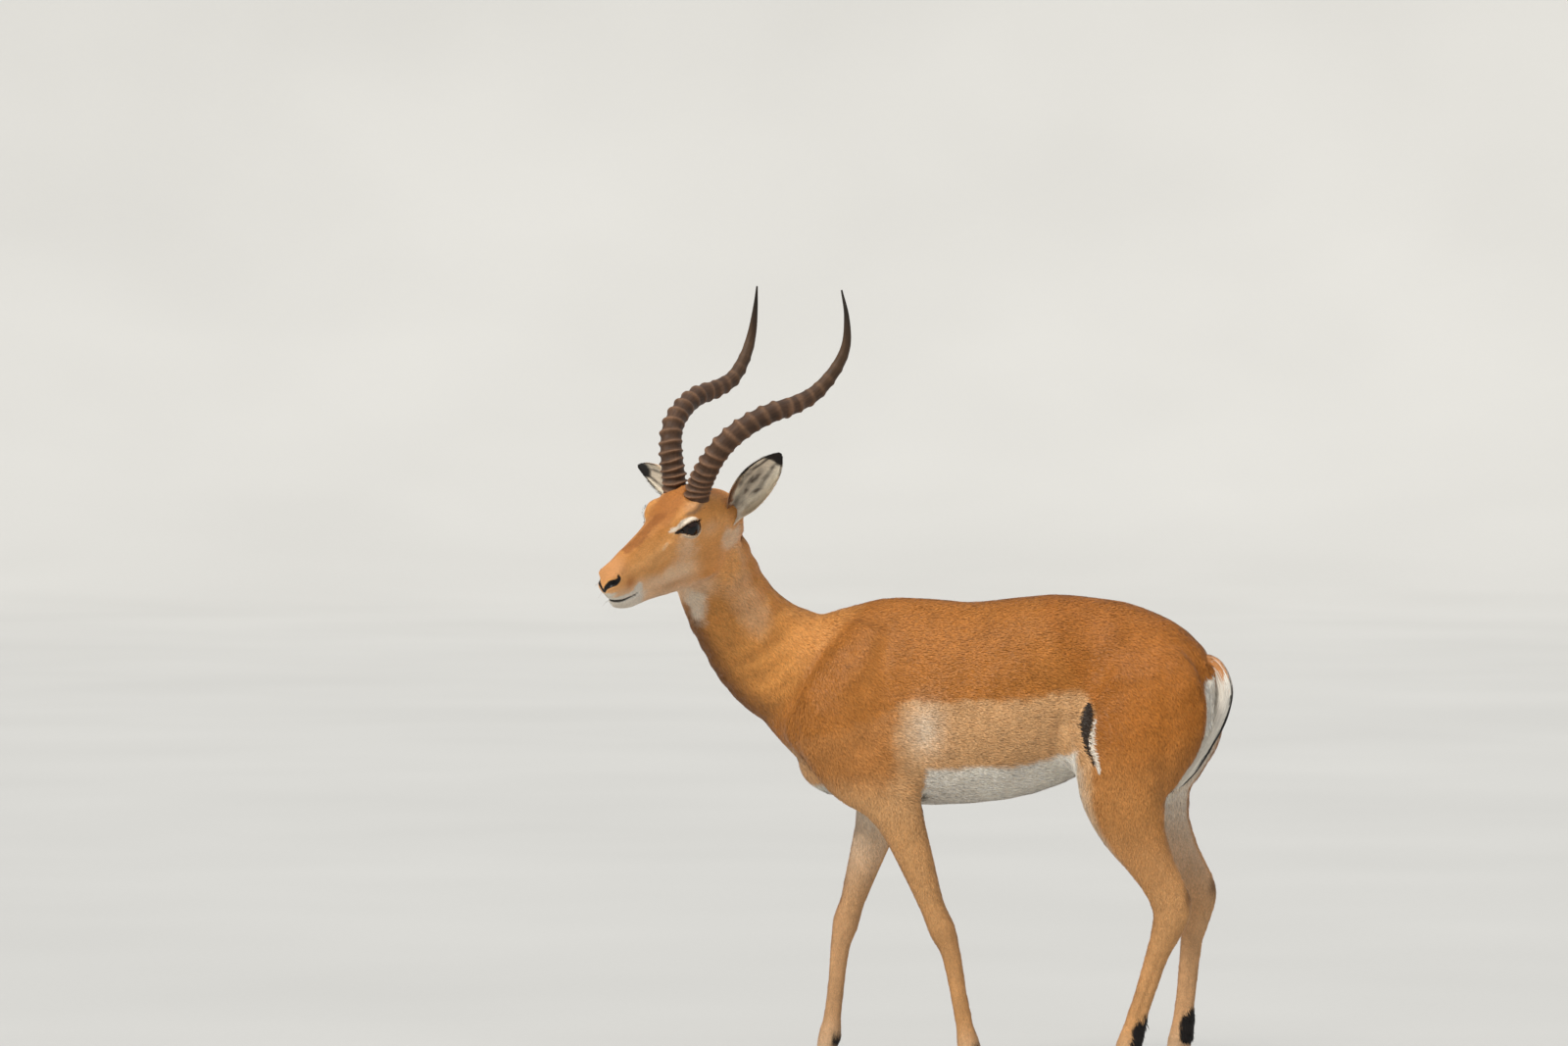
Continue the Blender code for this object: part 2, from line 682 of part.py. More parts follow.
def horn_rings():
    """(share of the length, radius) of each loop of points, crest and groove in turn."""
    crests = ring_shares()
    rows = [(0.0, horn_radius(0.0) * 0.93), (0.035, horn_radius(0.035) * 0.94)]
    for i, crest in enumerate(crests):
        fade = 1.0 - 0.45 * i / len(crests)
        rows.append((crest, horn_radius(crest) * (1.0 + 0.075 * fade)))
        after = crests[i + 1] if i + 1 < len(crests) else crest + 0.035
        groove = crest + 0.55 * (after - crest)
        rows.append((groove, horn_radius(groove) * (1.0 - 0.055 * fade)))
    for share in (0.83, 0.89, 0.95, 0.985, 1.0):
        rows.append((share, horn_radius(share)))
    return rows


def make_horn(side, home, paints=None, grow=0.0, reach=1.0):
    name = "horn_" + ("left" if side > 0 else "right")
    stray = HORN_STRAY["left" if side > 0 else "right"]
    keys = []
    for i, key in enumerate(HORN):
        share = i / (len(HORN) - 1)
        u, v, w = np.array(key) + np.array(stray) * share**2
        keys.append(head_point((u, side * v, w)))
    line = through(keys, 240)
    lengths = np.concatenate([[0], np.cumsum(np.linalg.norm(np.diff(line, axis=0), axis=1))])
    lengths /= lengths[-1]
    tangents = np.gradient(line, axis=0)
    sideways = head_axes()[1]
    rings = []
    for share, radius in horn_rings():
        if share > reach:
            break
        centre = np.array([np.interp(share, lengths, line[:, k]) for k in range(3)])
        along = unit([np.interp(share, lengths, tangents[:, k]) for k in range(3)])
        first = unit(sideways - along * (sideways @ along))
        second = np.cross(along, first)
        flat = oval(HORN_SIDES) * (radius + grow)
        rings.append(centre + np.outer(flat[:, 0] * 0.94, first)
                     + np.outer(flat[:, 1] * 1.06, second))
    if grow:
        rings[0] = rings[0] - unit(tangents[0]) * grow
    bm = bmesh.new()
    add_loft(bm, rings)
    return new_object(name, bm, home, paints and paints[name])


def make_ear(side, home, paints):
    """A cupped leaf: across its length an arc, open towards the hollow's side."""
    name = "ear_" + side
    ear = EARS[side]
    axes = head_axes()
    root = head_point(ear.root)
    along = unit(np.array(ear.tip) @ axes)
    hollow = np.array(ear.hollow) @ axes
    hollow = unit(hollow - along * (hollow @ along))
    across = np.cross(along, hollow)
    start = -EAR_ROOT_DEPTH
    rings = []
    for share, width, cup in through(EAR, EAR_RINGS):
        length = start + share * (EAR_LENGTH - start)
        half_width = EAR_WIDTH * width / 2
        depth = EAR_WIDTH * cup
        thin = EAR_THICKNESS / 2 * min(1.0, 0.35 + 1.6 * width)
        bow = 0.010 * math.sin(math.pi * share)
        outer, inner = [], []
        for i in range(EAR_ARC_POINTS):
            swing = EAR_REACH * (2 * i / (EAR_ARC_POINTS - 1) - 1)
            out = across * math.sin(swing) - hollow * math.cos(swing) * 0.8
            middle = (root + along * length + across * (half_width * math.sin(swing))
                      - hollow * (depth * (math.cos(swing) - 0.2) + bow))
            outer.append(middle + unit(out) * thin)
            inner.append(middle - unit(out) * thin)
        rings.append(np.array(outer + inner[::-1]))
    bm = bmesh.new()
    add_loft(bm, rings)
    return new_object(name, bm, home, paints[name])


def make_tail(home, paints=None, grow=0.0):
    keys = [(x, y, z, depth + grow, width + grow) for x, y, z, depth, width in TAIL]
    bm = bmesh.new()
    add_loft(bm, path_rings(keys, 16, TAIL_SIDES))
    return new_object("tail", bm, home, paints and paints["tail"])


def make_claw(name, foot, side, inner, home, paints):
    """One claw of a cloven hoof: a flat sole, a pointed toe and a sloping front wall."""
    levels = (
        # height, length, width, how far the middle lies behind the sole's middle
        (0.0, 1.00, 1.00, 0.000),
        (0.25, 0.985, 1.00, 0.002),
        (0.65, 0.86, 0.97, 0.0065),
        (1.0, 0.70, 0.88, 0.011),
    )
    middle_y = side * foot.y + side * CLAW_SPREAD * (-1 if inner else 1)
    toe_out = side * (-1 if inner else 1)
    rings = []
    for height, length, width, back in levels:
        ring = []
        for c, s in oval(10, 2.3, 2.3):
            taper = 1.0 - 0.38 * max(0.0, -c) ** 1.5
            x = foot.x - 0.012 + back + c * length * SOLE_LENGTH / 2
            lean = -toe_out * 0.0018 * max(0.0, -c)
            y = middle_y + lean + s * width * taper * SOLE_WIDTH / 2
            ring.append((x, y, height * CLAW_HEIGHT))
        rings.append(ring)
    bm = bmesh.new()
    add_loft(bm, rings)
    return new_object(name, bm, home, paints["hoof"])


# ------------------------------------------------------------------------------------- build


def clear_scene():
    for made in list(bpy.data.objects):
        bpy.data.objects.remove(made, do_unlink=True)


def centre_on_floor(parts, cutters):
    """Moves all pieces so that the whole box is centred over the origin, on the floor."""
    corners = []
    for made in parts.objects:
        corners += [made.matrix_world @ vert.co for vert in made.data.vertices]
    corners = np.array([tuple(c) for c in corners])
    low, high = corners.min(axis=0), corners.max(axis=0)
    shift = Vector((-(low[0] + high[0]) / 2, -(low[1] + high[1]) / 2, -low[2]))
    root = bpy.data.objects.new(NAME + "_stance", None)
    bpy.context.scene.collection.objects.link(root)
    root.location = shift
    for made in list(parts.objects) + list(cutters.objects):
        made.parent = root


def main():
    clear_scene()
    parts = collection(NAME)
    cutters = collection("cutters")
    paints = coat_paints()
    flesh = make_flesh(parts)
    for slab in slabs():
        boolean(flesh, make_slab(slab, cutters))
    bodies = part_flesh(flesh, parts, paints)
    bpy.data.objects.remove(flesh, do_unlink=True)

    make_tail(parts, paints)
    boolean(bodies["trunk"], as_cutter(make_tail(cutters, grow=GAP)))
    for side in (1, -1):
        make_eye(side, parts, paints)
        bpy.context.view_layer.update()
        boolean(bodies["head"], as_cutter(make_eye(side, cutters, grow=GAP)))
        make_horn(side, parts, paints)
        boolean(bodies["head"], as_cutter(make_horn(side, cutters, grow=GAP, reach=0.2)))
    for side in ("left", "right"):
        trim(make_ear(side, parts, paints), bodies["head"], cutters)
    for name, stations, side in LEGS:
        for inner in (False, True):
            claw = name.replace("leg", "hoof") + ("_inner" if inner else "_outer")
            make_claw(claw, stations[-1], side, inner, parts, paints)
    bpy.context.view_layer.update()
    centre_on_floor(parts, cutters)
    for made in parts.objects:
        made.data.shade_smooth()


main()
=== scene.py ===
"""Looks of a life-size impala ram: one continuous skin, a short coat of solid tufts lying along
the body, ringed horns, wet dark eyes and black hooves, on a pale studio floor."""

import math

import bmesh
import bpy
import numpy as np
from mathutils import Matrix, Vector
from mathutils.bvhtree import BVHTree


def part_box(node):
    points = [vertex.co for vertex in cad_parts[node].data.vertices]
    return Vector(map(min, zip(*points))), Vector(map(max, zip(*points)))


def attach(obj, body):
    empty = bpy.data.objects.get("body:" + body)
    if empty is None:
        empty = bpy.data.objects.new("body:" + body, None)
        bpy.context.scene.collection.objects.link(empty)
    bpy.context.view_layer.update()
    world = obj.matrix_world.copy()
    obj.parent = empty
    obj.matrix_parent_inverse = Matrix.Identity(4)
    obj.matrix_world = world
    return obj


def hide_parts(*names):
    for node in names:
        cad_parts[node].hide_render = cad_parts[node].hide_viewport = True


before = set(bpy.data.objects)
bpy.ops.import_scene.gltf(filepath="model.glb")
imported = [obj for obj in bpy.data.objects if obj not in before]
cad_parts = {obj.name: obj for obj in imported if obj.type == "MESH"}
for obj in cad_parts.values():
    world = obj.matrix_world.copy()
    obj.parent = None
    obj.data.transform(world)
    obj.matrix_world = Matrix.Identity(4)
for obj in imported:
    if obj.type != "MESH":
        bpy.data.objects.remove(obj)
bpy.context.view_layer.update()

bl_info = {
    "name": "Impala ram",
    "version": (1, 0, 0),
    "blender": (4, 5, 0),
    "location": "3D View > Sidebar > Impala",
    "description": "Builds the skin, coat, horns, eyes and hooves of a life-size impala ram",
    "category": "Add Mesh",
}

# -------------------- the ram's frame

HEAD_YAW, HEAD_PITCH, HEAD_ROLL = 55.5, 18.5, -11.5  # degrees: to the left, nose down, left down
EYE_AT = np.array((0.125, 0.0425, 0.053))  # forward, left and up from the back of the skull
HEAD_AT = np.array((-0.48, -0.1, 1.026))  # back of the skull, from under the ram's middle

LEGS = [f"{leg}_{side}" for leg in ("foreleg", "hindleg") for side in ("left", "right")]
LEG_NODES = [f"{leg}_{part}" for leg in LEGS for part in ("upper", "lower")]
BODY_NODES = ["head", "neck", "trunk"] + LEG_NODES
HAIRY_NODES = BODY_NODES + ["tail"]
TAIL = HAIRY_NODES.index("tail")
CLAW_NODES = [f"{foot}_{side}_{place}" for foot in ("forehoof", "hindhoof")
              for side in ("left", "right") for place in ("inner", "outer")]


def unit(vectors):
    """The vectors scaled to length 1."""
    vectors = np.asarray(vectors, float)
    return vectors / np.maximum(np.linalg.norm(vectors, axis=-1, keepdims=True), 1e-12)


def head_axes():
    """The head's forward, left and up directions, as rows."""
    yaw, pitch, roll = np.radians((HEAD_YAW, HEAD_PITCH, HEAD_ROLL))
    forward = np.array((-math.cos(yaw) * math.cos(pitch), -math.sin(yaw) * math.cos(pitch), -math.sin(pitch)))
    level_left = np.array((math.sin(yaw), -math.cos(yaw), 0.0))
    level_up = np.cross(forward, level_left)
    left = math.cos(roll) * level_left + math.sin(roll) * level_up
    up = math.cos(roll) * level_up - math.sin(roll) * level_left
    return np.array((forward, left, up))


def middle_of(node):
    """The middle of a node's box."""
    low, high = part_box(node)
    return np.array((low + high) / 2)


AXES = head_axes()
BETWEEN_EYES = (middle_of("eye_left") + middle_of("eye_right")) / 2
SKULL = BETWEEN_EYES - np.array((EYE_AT[0], 0.0, EYE_AT[2])) @ AXES  # origin of the head's axes
MIDDLE = SKULL - HEAD_AT  # the ram's own origin: under its back, on its middle plane


def from_head(points):
    """Points given forward, left and up in the head's axes, in the frame."""
    return SKULL + np.asarray(points, float) @ AXES


def to_head(points):
    return (np.asarray(points, float) - SKULL) @ AXES.T


def folded_head(points):
    """Points in the head's axes, with the distance from its middle plane in place of left and right."""
    return to_head(points) * (1, 0, 1) + np.abs(to_head(points)) * (0, 1, 0)


def to_ram(points):
    """Points in the ram's own frame: x towards the tail, y to the right, z up."""
    return np.asarray(points, float) - MIDDLE


def folded_ram(points):
    """Points in the ram's frame, with the distance from its middle plane in place of y."""
    return to_ram(points) * (1, 0, 1) + np.abs(to_ram(points)) * (0, 1, 0)


def few(count):
    return count


# -------------------- numbers


def ramp(value, low, high):
    """0 below low, 1 above high, smooth between; low may be the greater."""
    t = np.clip((np.asarray(value, float) - low) / (high - low), 0, 1)
    return t * t * (3 - 2 * t)


def bump(value, middle, width):
    """1 at the middle value, falling off like a bell on both sides."""
    return np.exp(-(((np.asarray(value, float) - middle) / width) ** 2))


def blob(points, centre, radii):
    """1 at a centre, falling off like a bell along each axis."""
    return np.exp(-((((points - np.array(centre)) / np.array(radii)) ** 2).sum(-1)))


def through(keys, count):
    """Rows of numbers on a smooth curve through the rows of keys."""
    keys = np.asarray(keys, float)
    last = len(keys) - 1
    steps = np.linspace(0, last, count)
    i = np.minimum(steps.astype(int), last - 1)
    t = (steps - i)[:, None]
    before, a, b, after = keys[np.maximum(i - 1, 0)], keys[i], keys[i + 1], keys[np.minimum(i + 2, last)]
    pull_a = np.where((i == 0)[:, None], b - a, (b - before) / 2)
    pull_b = np.where((i == last - 1)[:, None], b - a, (after - a) / 2)
    return ((2 * t**3 - 3 * t**2 + 1) * a + (t**3 - 2 * t**2 + t) * pull_a
            + (3 * t**2 - 2 * t**3) * b + (t**3 - t**2) * pull_b)


def lattice(cells, seed):
    """A repeatable random number between 0 and 1 for each whole cell."""
    cells = cells.astype(np.int64)
    mixed = cells[..., 0] * 73856093 ^ cells[..., 1] * 19349663 ^ cells[..., 2] * 83492791 ^ seed * 2654435761
    mixed = (mixed ^ (mixed >> 13)) * 1274126177
    return ((mixed ^ (mixed >> 16)) & 0xFFFFF) / float(0xFFFFF)


def noise(points, size, seed=0):
    """Smooth noise between -1 and 1, with lumps about this size."""
    scaled = np.asarray(points, float) / size
    cell = np.floor(scaled)
    t = scaled - cell
    t = t * t * (3 - 2 * t)
    total = np.zeros(scaled.shape[:-1])
    for corner in range(8):
        bits = np.array((corner & 1, corner >> 1 & 1, corner >> 2 & 1))
        share = np.prod(np.where(bits, t, 1 - t), axis=-1)
        total += share * lattice(cell + bits, seed)
    return total * 2 - 1


def level_at(place, keys):
    """The second number of the keys at this place among their first ones, in straight steps."""
    return np.interp(place, *np.array(keys).T)


def distance_to_line(points, keys, count=24):
    """Distance from each point to a smooth line through keys."""
    line = through(keys, count)
    best = np.full(len(points), np.inf)
    for a, b in zip(line, line[1:]):
        along = b - a
        t = np.clip(((points - a) @ along) / (along @ along), 0, 1)
        best = np.minimum(best, np.linalg.norm(points - a - t[:, None] * along, axis=1))
    return best


def within_taper(points, keys, count=24):
    """Distance from a line as a share of its half width, which is the last value of each key: 1 on its edge."""
    near = np.full(len(points), 1e9)
    for row in through(keys, count):
        near = np.minimum(near, np.linalg.norm(points - row[:-1], axis=1) / row[-1])
    return near


# -------------------- mesh helpers


def values_of(items, name, width, kind=np.float32):
    found = np.empty(len(items) * width, kind)
    items.foreach_get(name, found)
    return found.reshape(-1, width) if width > 1 else found


def points_of(mesh):
    """The places of a mesh's points, as rows."""
    return values_of(mesh.vertices, "co", 3).astype(float)


def move_points(mesh, points):
    mesh.vertices.foreach_set("co", np.asarray(points, np.float32).ravel())
    mesh.update()


def normals_of(mesh):
    return values_of(mesh.vertex_normals, "vector", 3).astype(float)


def triangles_of(mesh):
    mesh.calc_loop_triangles()
    return values_of(mesh.loop_triangles, "vertices", 3, np.int32)


def neighbours(mesh):
    """A function that gives, for values at the points, the mean of each point's neighbours."""
    edges = values_of(mesh.edges, "vertices", 2, np.int32)
    ends, starts = np.concatenate((edges, edges[:, ::-1])).T
    size = len(mesh.vertices)
    count = np.maximum(np.bincount(ends, minlength=size), 1)[:, None]

    def mean(values):
        return np.stack([np.bincount(ends, column[starts], size) for column in values.T], 1) / count
    return mean


def smooth(mesh, rounds, pull, push, strength):
    """Evens a surface without shrinking it: each round pulls the points in and pushes them back."""
    mean = neighbours(mesh)
    points = points_of(mesh)
    strength = np.broadcast_to(strength, (len(points),))[:, None]
    for _ in range(rounds):
        for step in (pull, -push):
            points = points + step * strength * (mean(points) - points)
    move_points(mesh, points)


def spread(mesh, values, rounds):
    """Values at the points, averaged with their neighbours again and again."""
    mean = neighbours(mesh)
    for _ in range(rounds):
        values = 0.4 * values + 0.6 * mean(values)
    return values


def refine(mesh, chosen):
    """Halves the faces whose points are all chosen."""
    bm = bmesh.new()
    bm.from_mesh(mesh)
    bm.verts.ensure_lookup_table()
    edges = [edge for edge in bm.edges if chosen[edge.verts[0].index] and chosen[edge.verts[1].index]]
    bmesh.ops.subdivide_edges(bm, edges=edges, cuts=1, use_grid_fill=True)
    bm.to_mesh(mesh)
    bm.free()


def applied(made):
    """The mesh that an object's modifiers give."""
    graph = bpy.context.evaluated_depsgraph_get()
    graph.update()
    mesh = bpy.data.meshes.new_from_object(made.evaluated_get(graph))
    old = made.data
    made.modifiers.clear()
    made.data = mesh
    bpy.data.meshes.remove(old)
    return mesh


def new_piece(name, mesh, material):
    """Puts a mesh into the scene as a smooth piece of one material."""
    made = bpy.data.objects.new(name, mesh)
    bpy.context.scene.collection.objects.link(made)
    mesh.materials.clear()
    mesh.materials.append(material)
    mesh.shade_smooth()
    return made


def grid_mesh(name, rows, closed_ends=(False, False)):
    """A tube through rings of points, with a cap at either end if asked."""
    rows = np.asarray(rows, float)
    rings, sides = rows.shape[:2]
    at = np.arange(rings * sides).reshape(rings, sides)
    here, there = at[:-1], at[1:]
    quads = np.stack((here, np.roll(here, -1, 1), np.roll(there, -1, 1), there), -1).reshape(-1, 4)
    faces = quads.tolist()
    if closed_ends[0]:
        faces.append(at[0][::-1].tolist())
    if closed_ends[1]:
        faces.append(at[-1].tolist())
    mesh = bpy.data.meshes.new(name)
    mesh.from_pydata(rows.reshape(-1, 3).tolist(), [], faces)
    mesh.update()
    return mesh


def paint_points(mesh, name, colours):
    """Keeps a colour for every point of a mesh."""
    layer = mesh.color_attributes.new(name=name, type="FLOAT_COLOR", domain="POINT")
    full = np.concatenate((colours, np.ones((len(colours), 1))), 1)
    layer.data.foreach_set("color", full.astype(np.float32).ravel())
    mesh.color_attributes.active_color = layer


def keep_values(mesh, name, kind, key, values):
    """Keeps a number or a vector for every point of a mesh."""
    layer = mesh.attributes.new(name, kind, "POINT")
    layer.data.foreach_set(key, np.asarray(values, np.float32).ravel())


def face_outward(mesh):
    """Turns every face of a closed mesh outwards."""
    bm = bmesh.new()
    bm.from_mesh(mesh)
    bmesh.ops.recalc_face_normals(bm, faces=bm.faces)
    bm.to_mesh(mesh)
    bm.free()


def ride_and_replace(piece, nodes):
    """Hands a piece to the frame: it stands on the root and stands in for some nodes."""
    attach(piece, "root")
    if nodes:
        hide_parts(*nodes)


# -------------------- the skin

SEAM = 0.0008        # how much each flesh node swells so that it meets its neighbours
SKIN_GRAIN = 0.006  # size of the skin's faces on the body
TAIL_LINE = (  # middle of the tail in the ram's frame, and the tail's half width with its hair
    (0.362, 0.0, 0.792, 0.018),
    (0.389, 0.0, 0.776, 0.019),
    (0.404, 0.0, 0.738, 0.021),
    (0.395, 0.0, 0.692, 0.026),
    (0.373, 0.0, 0.65, 0.03),
    (0.349, 0.0, 0.61, 0.027),
    (0.327, 0.0, 0.578, 0.013),
)


def add_plug(bm, points):
    """Fills a socket with the convex shape of some points."""
    made = bmesh.ops.convex_hull(bm, input=[bm.verts.new(point) for point in points])
    loose = [item for item in made["geom_interior"] if isinstance(item, bmesh.types.BMVert)]
    bmesh.ops.delete(bm, geom=loose, context="VERTS")


def add_tail_core(bm):
    """The fleshy dock inside the tail's hair, thinner towards its end."""
    for i, (x, y, z, _) in enumerate(through(TAIL_LINE, 22)[:17]):
        made = bmesh.ops.create_icosphere(bm, subdivisions=2, radius=0.0125 - 0.0004 * i)
        for vert in made["verts"]:
            vert.co += Vector(MIDDLE + (x - 0.002, y, z))


def add_node(bm, node, swell):
    """Adds one node's solid, swollen by this much."""
    part = bmesh.new()
    part.from_mesh(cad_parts[node].data)
    bmesh.ops.remove_doubles(part, verts=part.verts, dist=1e-6)
    part.normal_update()
    for vert in part.verts:
        vert.co += vert.normal * swell
    mesh = bpy.data.meshes.new(node + "_swollen")
    part.to_mesh(mesh)
    part.free()
    bm.from_mesh(mesh)
    bpy.data.meshes.remove(mesh)


def fused_flesh():
    """All flesh nodes as one closed surface, their sockets filled."""
    bm = bmesh.new()
    for node in BODY_NODES:
        add_node(bm, node, SEAM)
    for side in ("left", "right"):
        add_node(bm, "eye_" + side, 0.0)
        horn = points_of(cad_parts["horn_" + side].data)
        root = to_head(horn)[:, 2] < 0.1
        add_plug(bm, horn[root])
        ear = points_of(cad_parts["ear_" + side].data)
        root = np.linalg.norm(ear - from_head((0.028, 0.056 if side == "left" else -0.056, 0.034)), axis=1)
        add_plug(bm, ear[root < np.partition(root, 40)[40]])
    add_tail_core(bm)
    mesh = bpy.data.meshes.new("skin")
    bm.to_mesh(mesh)
    bm.free()
    made = bpy.data.objects.new("skin_base", mesh)
    bpy.context.scene.collection.objects.link(made)
    fuse = made.modifiers.new("fuse", "REMESH")
    fuse.mode = "VOXEL"
    fuse.voxel_size = SKIN_GRAIN
    fuse.adaptivity = 0.0
    mesh = applied(made)
    bpy.data.objects.remove(made)
    return mesh


FLESH_TREE = {}


def nearest_nodes(points):
    """The flesh node that each point is nearest to, as a number in HAIRY_NODES."""
    if not FLESH_TREE:
        corners, faces, owners = [], [], []
        for index, node in enumerate(HAIRY_NODES):
            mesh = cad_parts[node].data
            start = sum(len(c) for c in corners)
            corners.append(points_of(mesh))
            faces.append(triangles_of(mesh) + start)
            owners += [index] * len(faces[-1])
        FLESH_TREE["tree"] = BVHTree.FromPolygons(np.concatenate(corners).tolist(),
                                                  np.concatenate(faces).tolist())
        FLESH_TREE["owners"] = np.array(owners)
    tree = FLESH_TREE["tree"]
    found = [tree.find_nearest(point)[2] for point in points.tolist()]
    return FLESH_TREE["owners"][found]


class Outline:
    """The outer form of the flesh, as it is before it is evened out."""

    tree = None

    @classmethod
    def keep(cls, mesh):
        cls.tree = BVHTree.FromPolygons(points_of(mesh).tolist(), triangles_of(mesh).tolist())

    @classmethod
    def height(cls, points):
        """How far points lie outside the form; inside it the height is below zero."""
        found = [cls.tree.find_nearest(point) for point in points.tolist()]
        near = np.array([item[0] for item in found])
        facing = np.array([item[1] for item in found])
        return ((points - near) * facing).sum(1)


def restore_outline(mesh, rounds, share):
    """Moves the surface, as a whole and without its facets, back to the form less the coat's depth."""
    points = points_of(mesh)
    missing = -(coat_depth(points) + SEAM) - Outline.height(points)
    missing = spread(mesh, np.clip(missing, -0.008, 0.008)[:, None], rounds)[:, 0]
    move_points(mesh, points + normals_of(mesh) * (missing * share)[:, None])


COAT_DEPTH = {"body": 0.0032, "head": 0.0016, "muzzle": 0.0007, "shank": 0.0014}


def coat_depth(points):
    """How deep the skin lies under the outer ends of the hair."""
    forward, height = to_head(points)[:, 0], to_ram(points)[:, 2]
    depth = np.full(len(points), COAT_DEPTH["body"])
    on_head = ramp(forward, -0.02, 0.06) * ramp(height, 0.8, 0.86)
    depth += on_head * (COAT_DEPTH["head"] - depth)
    depth += on_head * ramp(forward, 0.19, 0.25) * (COAT_DEPTH["muzzle"] - depth)
    depth += ramp(height, 0.5, 0.36) * (COAT_DEPTH["shank"] - depth)
    return depth


# -------------------- sculpting the skin


def eye_directions(points, side):
    """For one eye: distance from its middle, how far forward and up each point lies, and how far out.

    Forward and up are flattened views of the ball: 0 at its pole and 1 at its widest, 90 degrees off.
    """
    centre = from_head(EYE_AT * (1, side, 1))
    away = (points - centre) @ AXES.T
    outward = away[:, 1] * side
    distance = np.linalg.norm(away, axis=1)
    flat = away / np.maximum(distance + outward, 0.2 * distance + 1e-9)[:, None]
    return distance, flat[:, 0], flat[:, 2], outward


EYE_RADIUS = 0.0195
# middle of the almond between the lids, and how far it reaches, in an eye's flattened directions
LID = {"middle": (0.12, 0.04), "front": 0.86, "back": 0.62, "top": 0.365, "bottom": 0.285}
LID_THICKNESS = 0.0017


def lid_opening(ahead, above):
    """Below 1 inside the almond between the lids, 1 on their rims, more outside."""
    along = ahead - LID["middle"][0]
    across = above - LID["middle"][1]
    bend = np.where((along > 0) & (across < 0), 1.1, 1.5)
    along = np.abs(along) / np.where(along > 0, LID["front"], LID["back"])
    across = np.abs(across) / np.where(across > 0, LID["top"], LID["bottom"])
    return along**bend + across**1.9


def shape_lids(mesh):
    """Lays the skin round each eye over its ball as creased lids, and tucks it in behind the ball."""
    points = points_of(mesh)
    for side in (1, -1):
        centre = from_head(EYE_AT * (1, side, 1))
        distance, ahead, above, outward = eye_directions(points, side)
        near = (distance < 0.04) & (outward > 0)
        opening = lid_opening(ahead, above)
        lid = EYE_RADIUS + LID_THICKNESS + 0.0014 * ramp(opening, 1.0, 1.7)
        lid = lid - 0.0012 * bump(opening, 3.3, 0.3) * (above > 0)
        lid = lid - 0.001 * bump(opening, 2.3, 0.22) * (above < 0)
        out_blend = ramp(opening, 1.5, 3.2)
        wanted = lid + (np.maximum(distance, lid) - lid) * out_blend
        wanted = np.where(opening < 0.97, EYE_RADIUS - 0.0035, wanted)
        keep = ramp(distance, 0.03, 0.039)
        wanted = wanted + (distance - wanted) * keep
        moved = centre + (points - centre) * (wanted / np.maximum(distance, 1e-9))[:, None]
        points = np.where(near[:, None], moved, points)
    move_points(mesh, points)


TEMPLE_FOLD = ((0.046, 0.05, 0.078), (0.05, 0.058, 0.058), (0.055, 0.06, 0.036))


def head_relief(points):
    """How far the skin of the head stands out from the plain form, in metres."""
    both = folded_head(points)
    out = 0.0022 * blob(both, (0.126, 0.047, 0.086), (0.024, 0.012, 0.008))
    out += 0.001 * blob(both, (0.118, 0.052, 0.03), (0.022, 0.014, 0.007))
    out -= 0.002 * blob(both, (0.172, 0.036, 0.044), (0.012, 0.012, 0.006))
    crest = distance_to_line(both, ((0.118, 0.05, 0.018), (0.155, 0.042, 0.014), (0.195, 0.034, 0.006)), 8)
    out += 0.0016 * bump(crest, 0, 0.006)
    hollow = distance_to_line(both, ((0.135, 0.044, -0.004), (0.175, 0.034, -0.012), (0.215, 0.026, -0.016)), 8)
    out -= 0.0018 * bump(hollow, 0, 0.009)
    jaw = distance_to_line(both, ((0.06, 0.045, -0.066), (0.11, 0.04, -0.069), (0.17, 0.03, -0.066)), 8)
    out += 0.0012 * bump(jaw, 0, 0.006)
    out -= 0.003 * blob(both, (0.02, 0.05, -0.04), (0.008, 0.03, 0.03))
    # temple: folds of muscle between the ear and the horn
    for shift in (0.0, 0.011, 0.021):
        fold = distance_to_line(both - (shift, 0, 0), TEMPLE_FOLD, 8)
        out += 0.0013 * bump(fold, 0, 0.0035) - 0.0006 * bump(fold, 0.006, 0.003)
    # swollen rim of skin round each horn
    rim = np.linalg.norm(both - (0.084, 0.028, 0.098), axis=1)
    out += 0.0016 * bump(rim, 0.026, 0.005) * ramp(both[:, 2], 0.06, 0.08)
    return out


MOUTH = ((0.243, -0.035), (0.249, -0.0365), (0.263, -0.037), (0.277, -0.0375),
         (0.289, -0.036), (0.299, -0.034), (0.305, -0.033))  # how far forward and up
NOSTRIL = (  # its middle line, and half its width
    (0.305, 0.001, -0.014, 0.0024), (0.304, 0.0055, -0.0055, 0.0042), (0.2985, 0.014, 0.0025, 0.007),
    (0.2925, 0.02, 0.0045, 0.0068), (0.2875, 0.0228, 0.0095, 0.004), (0.2875, 0.0222, 0.015, 0.0024))
NOSTRIL_PIT = (0.296, 0.018, 0.004)   # middle of its deepest part, as it is before it is sunk
NOSTRIL_DEEP = (0.293, 0.015, 0.0035)  # and the same spot afterwards


def from_mouth(both):
    """Distance from the line of the mouth, seen from the side."""
    ahead, level = np.array(MOUTH).T
    return np.hypot(both[:, 2] - np.interp(both[:, 0], ahead, level), (ahead[0] - both[:, 0]).clip(0))


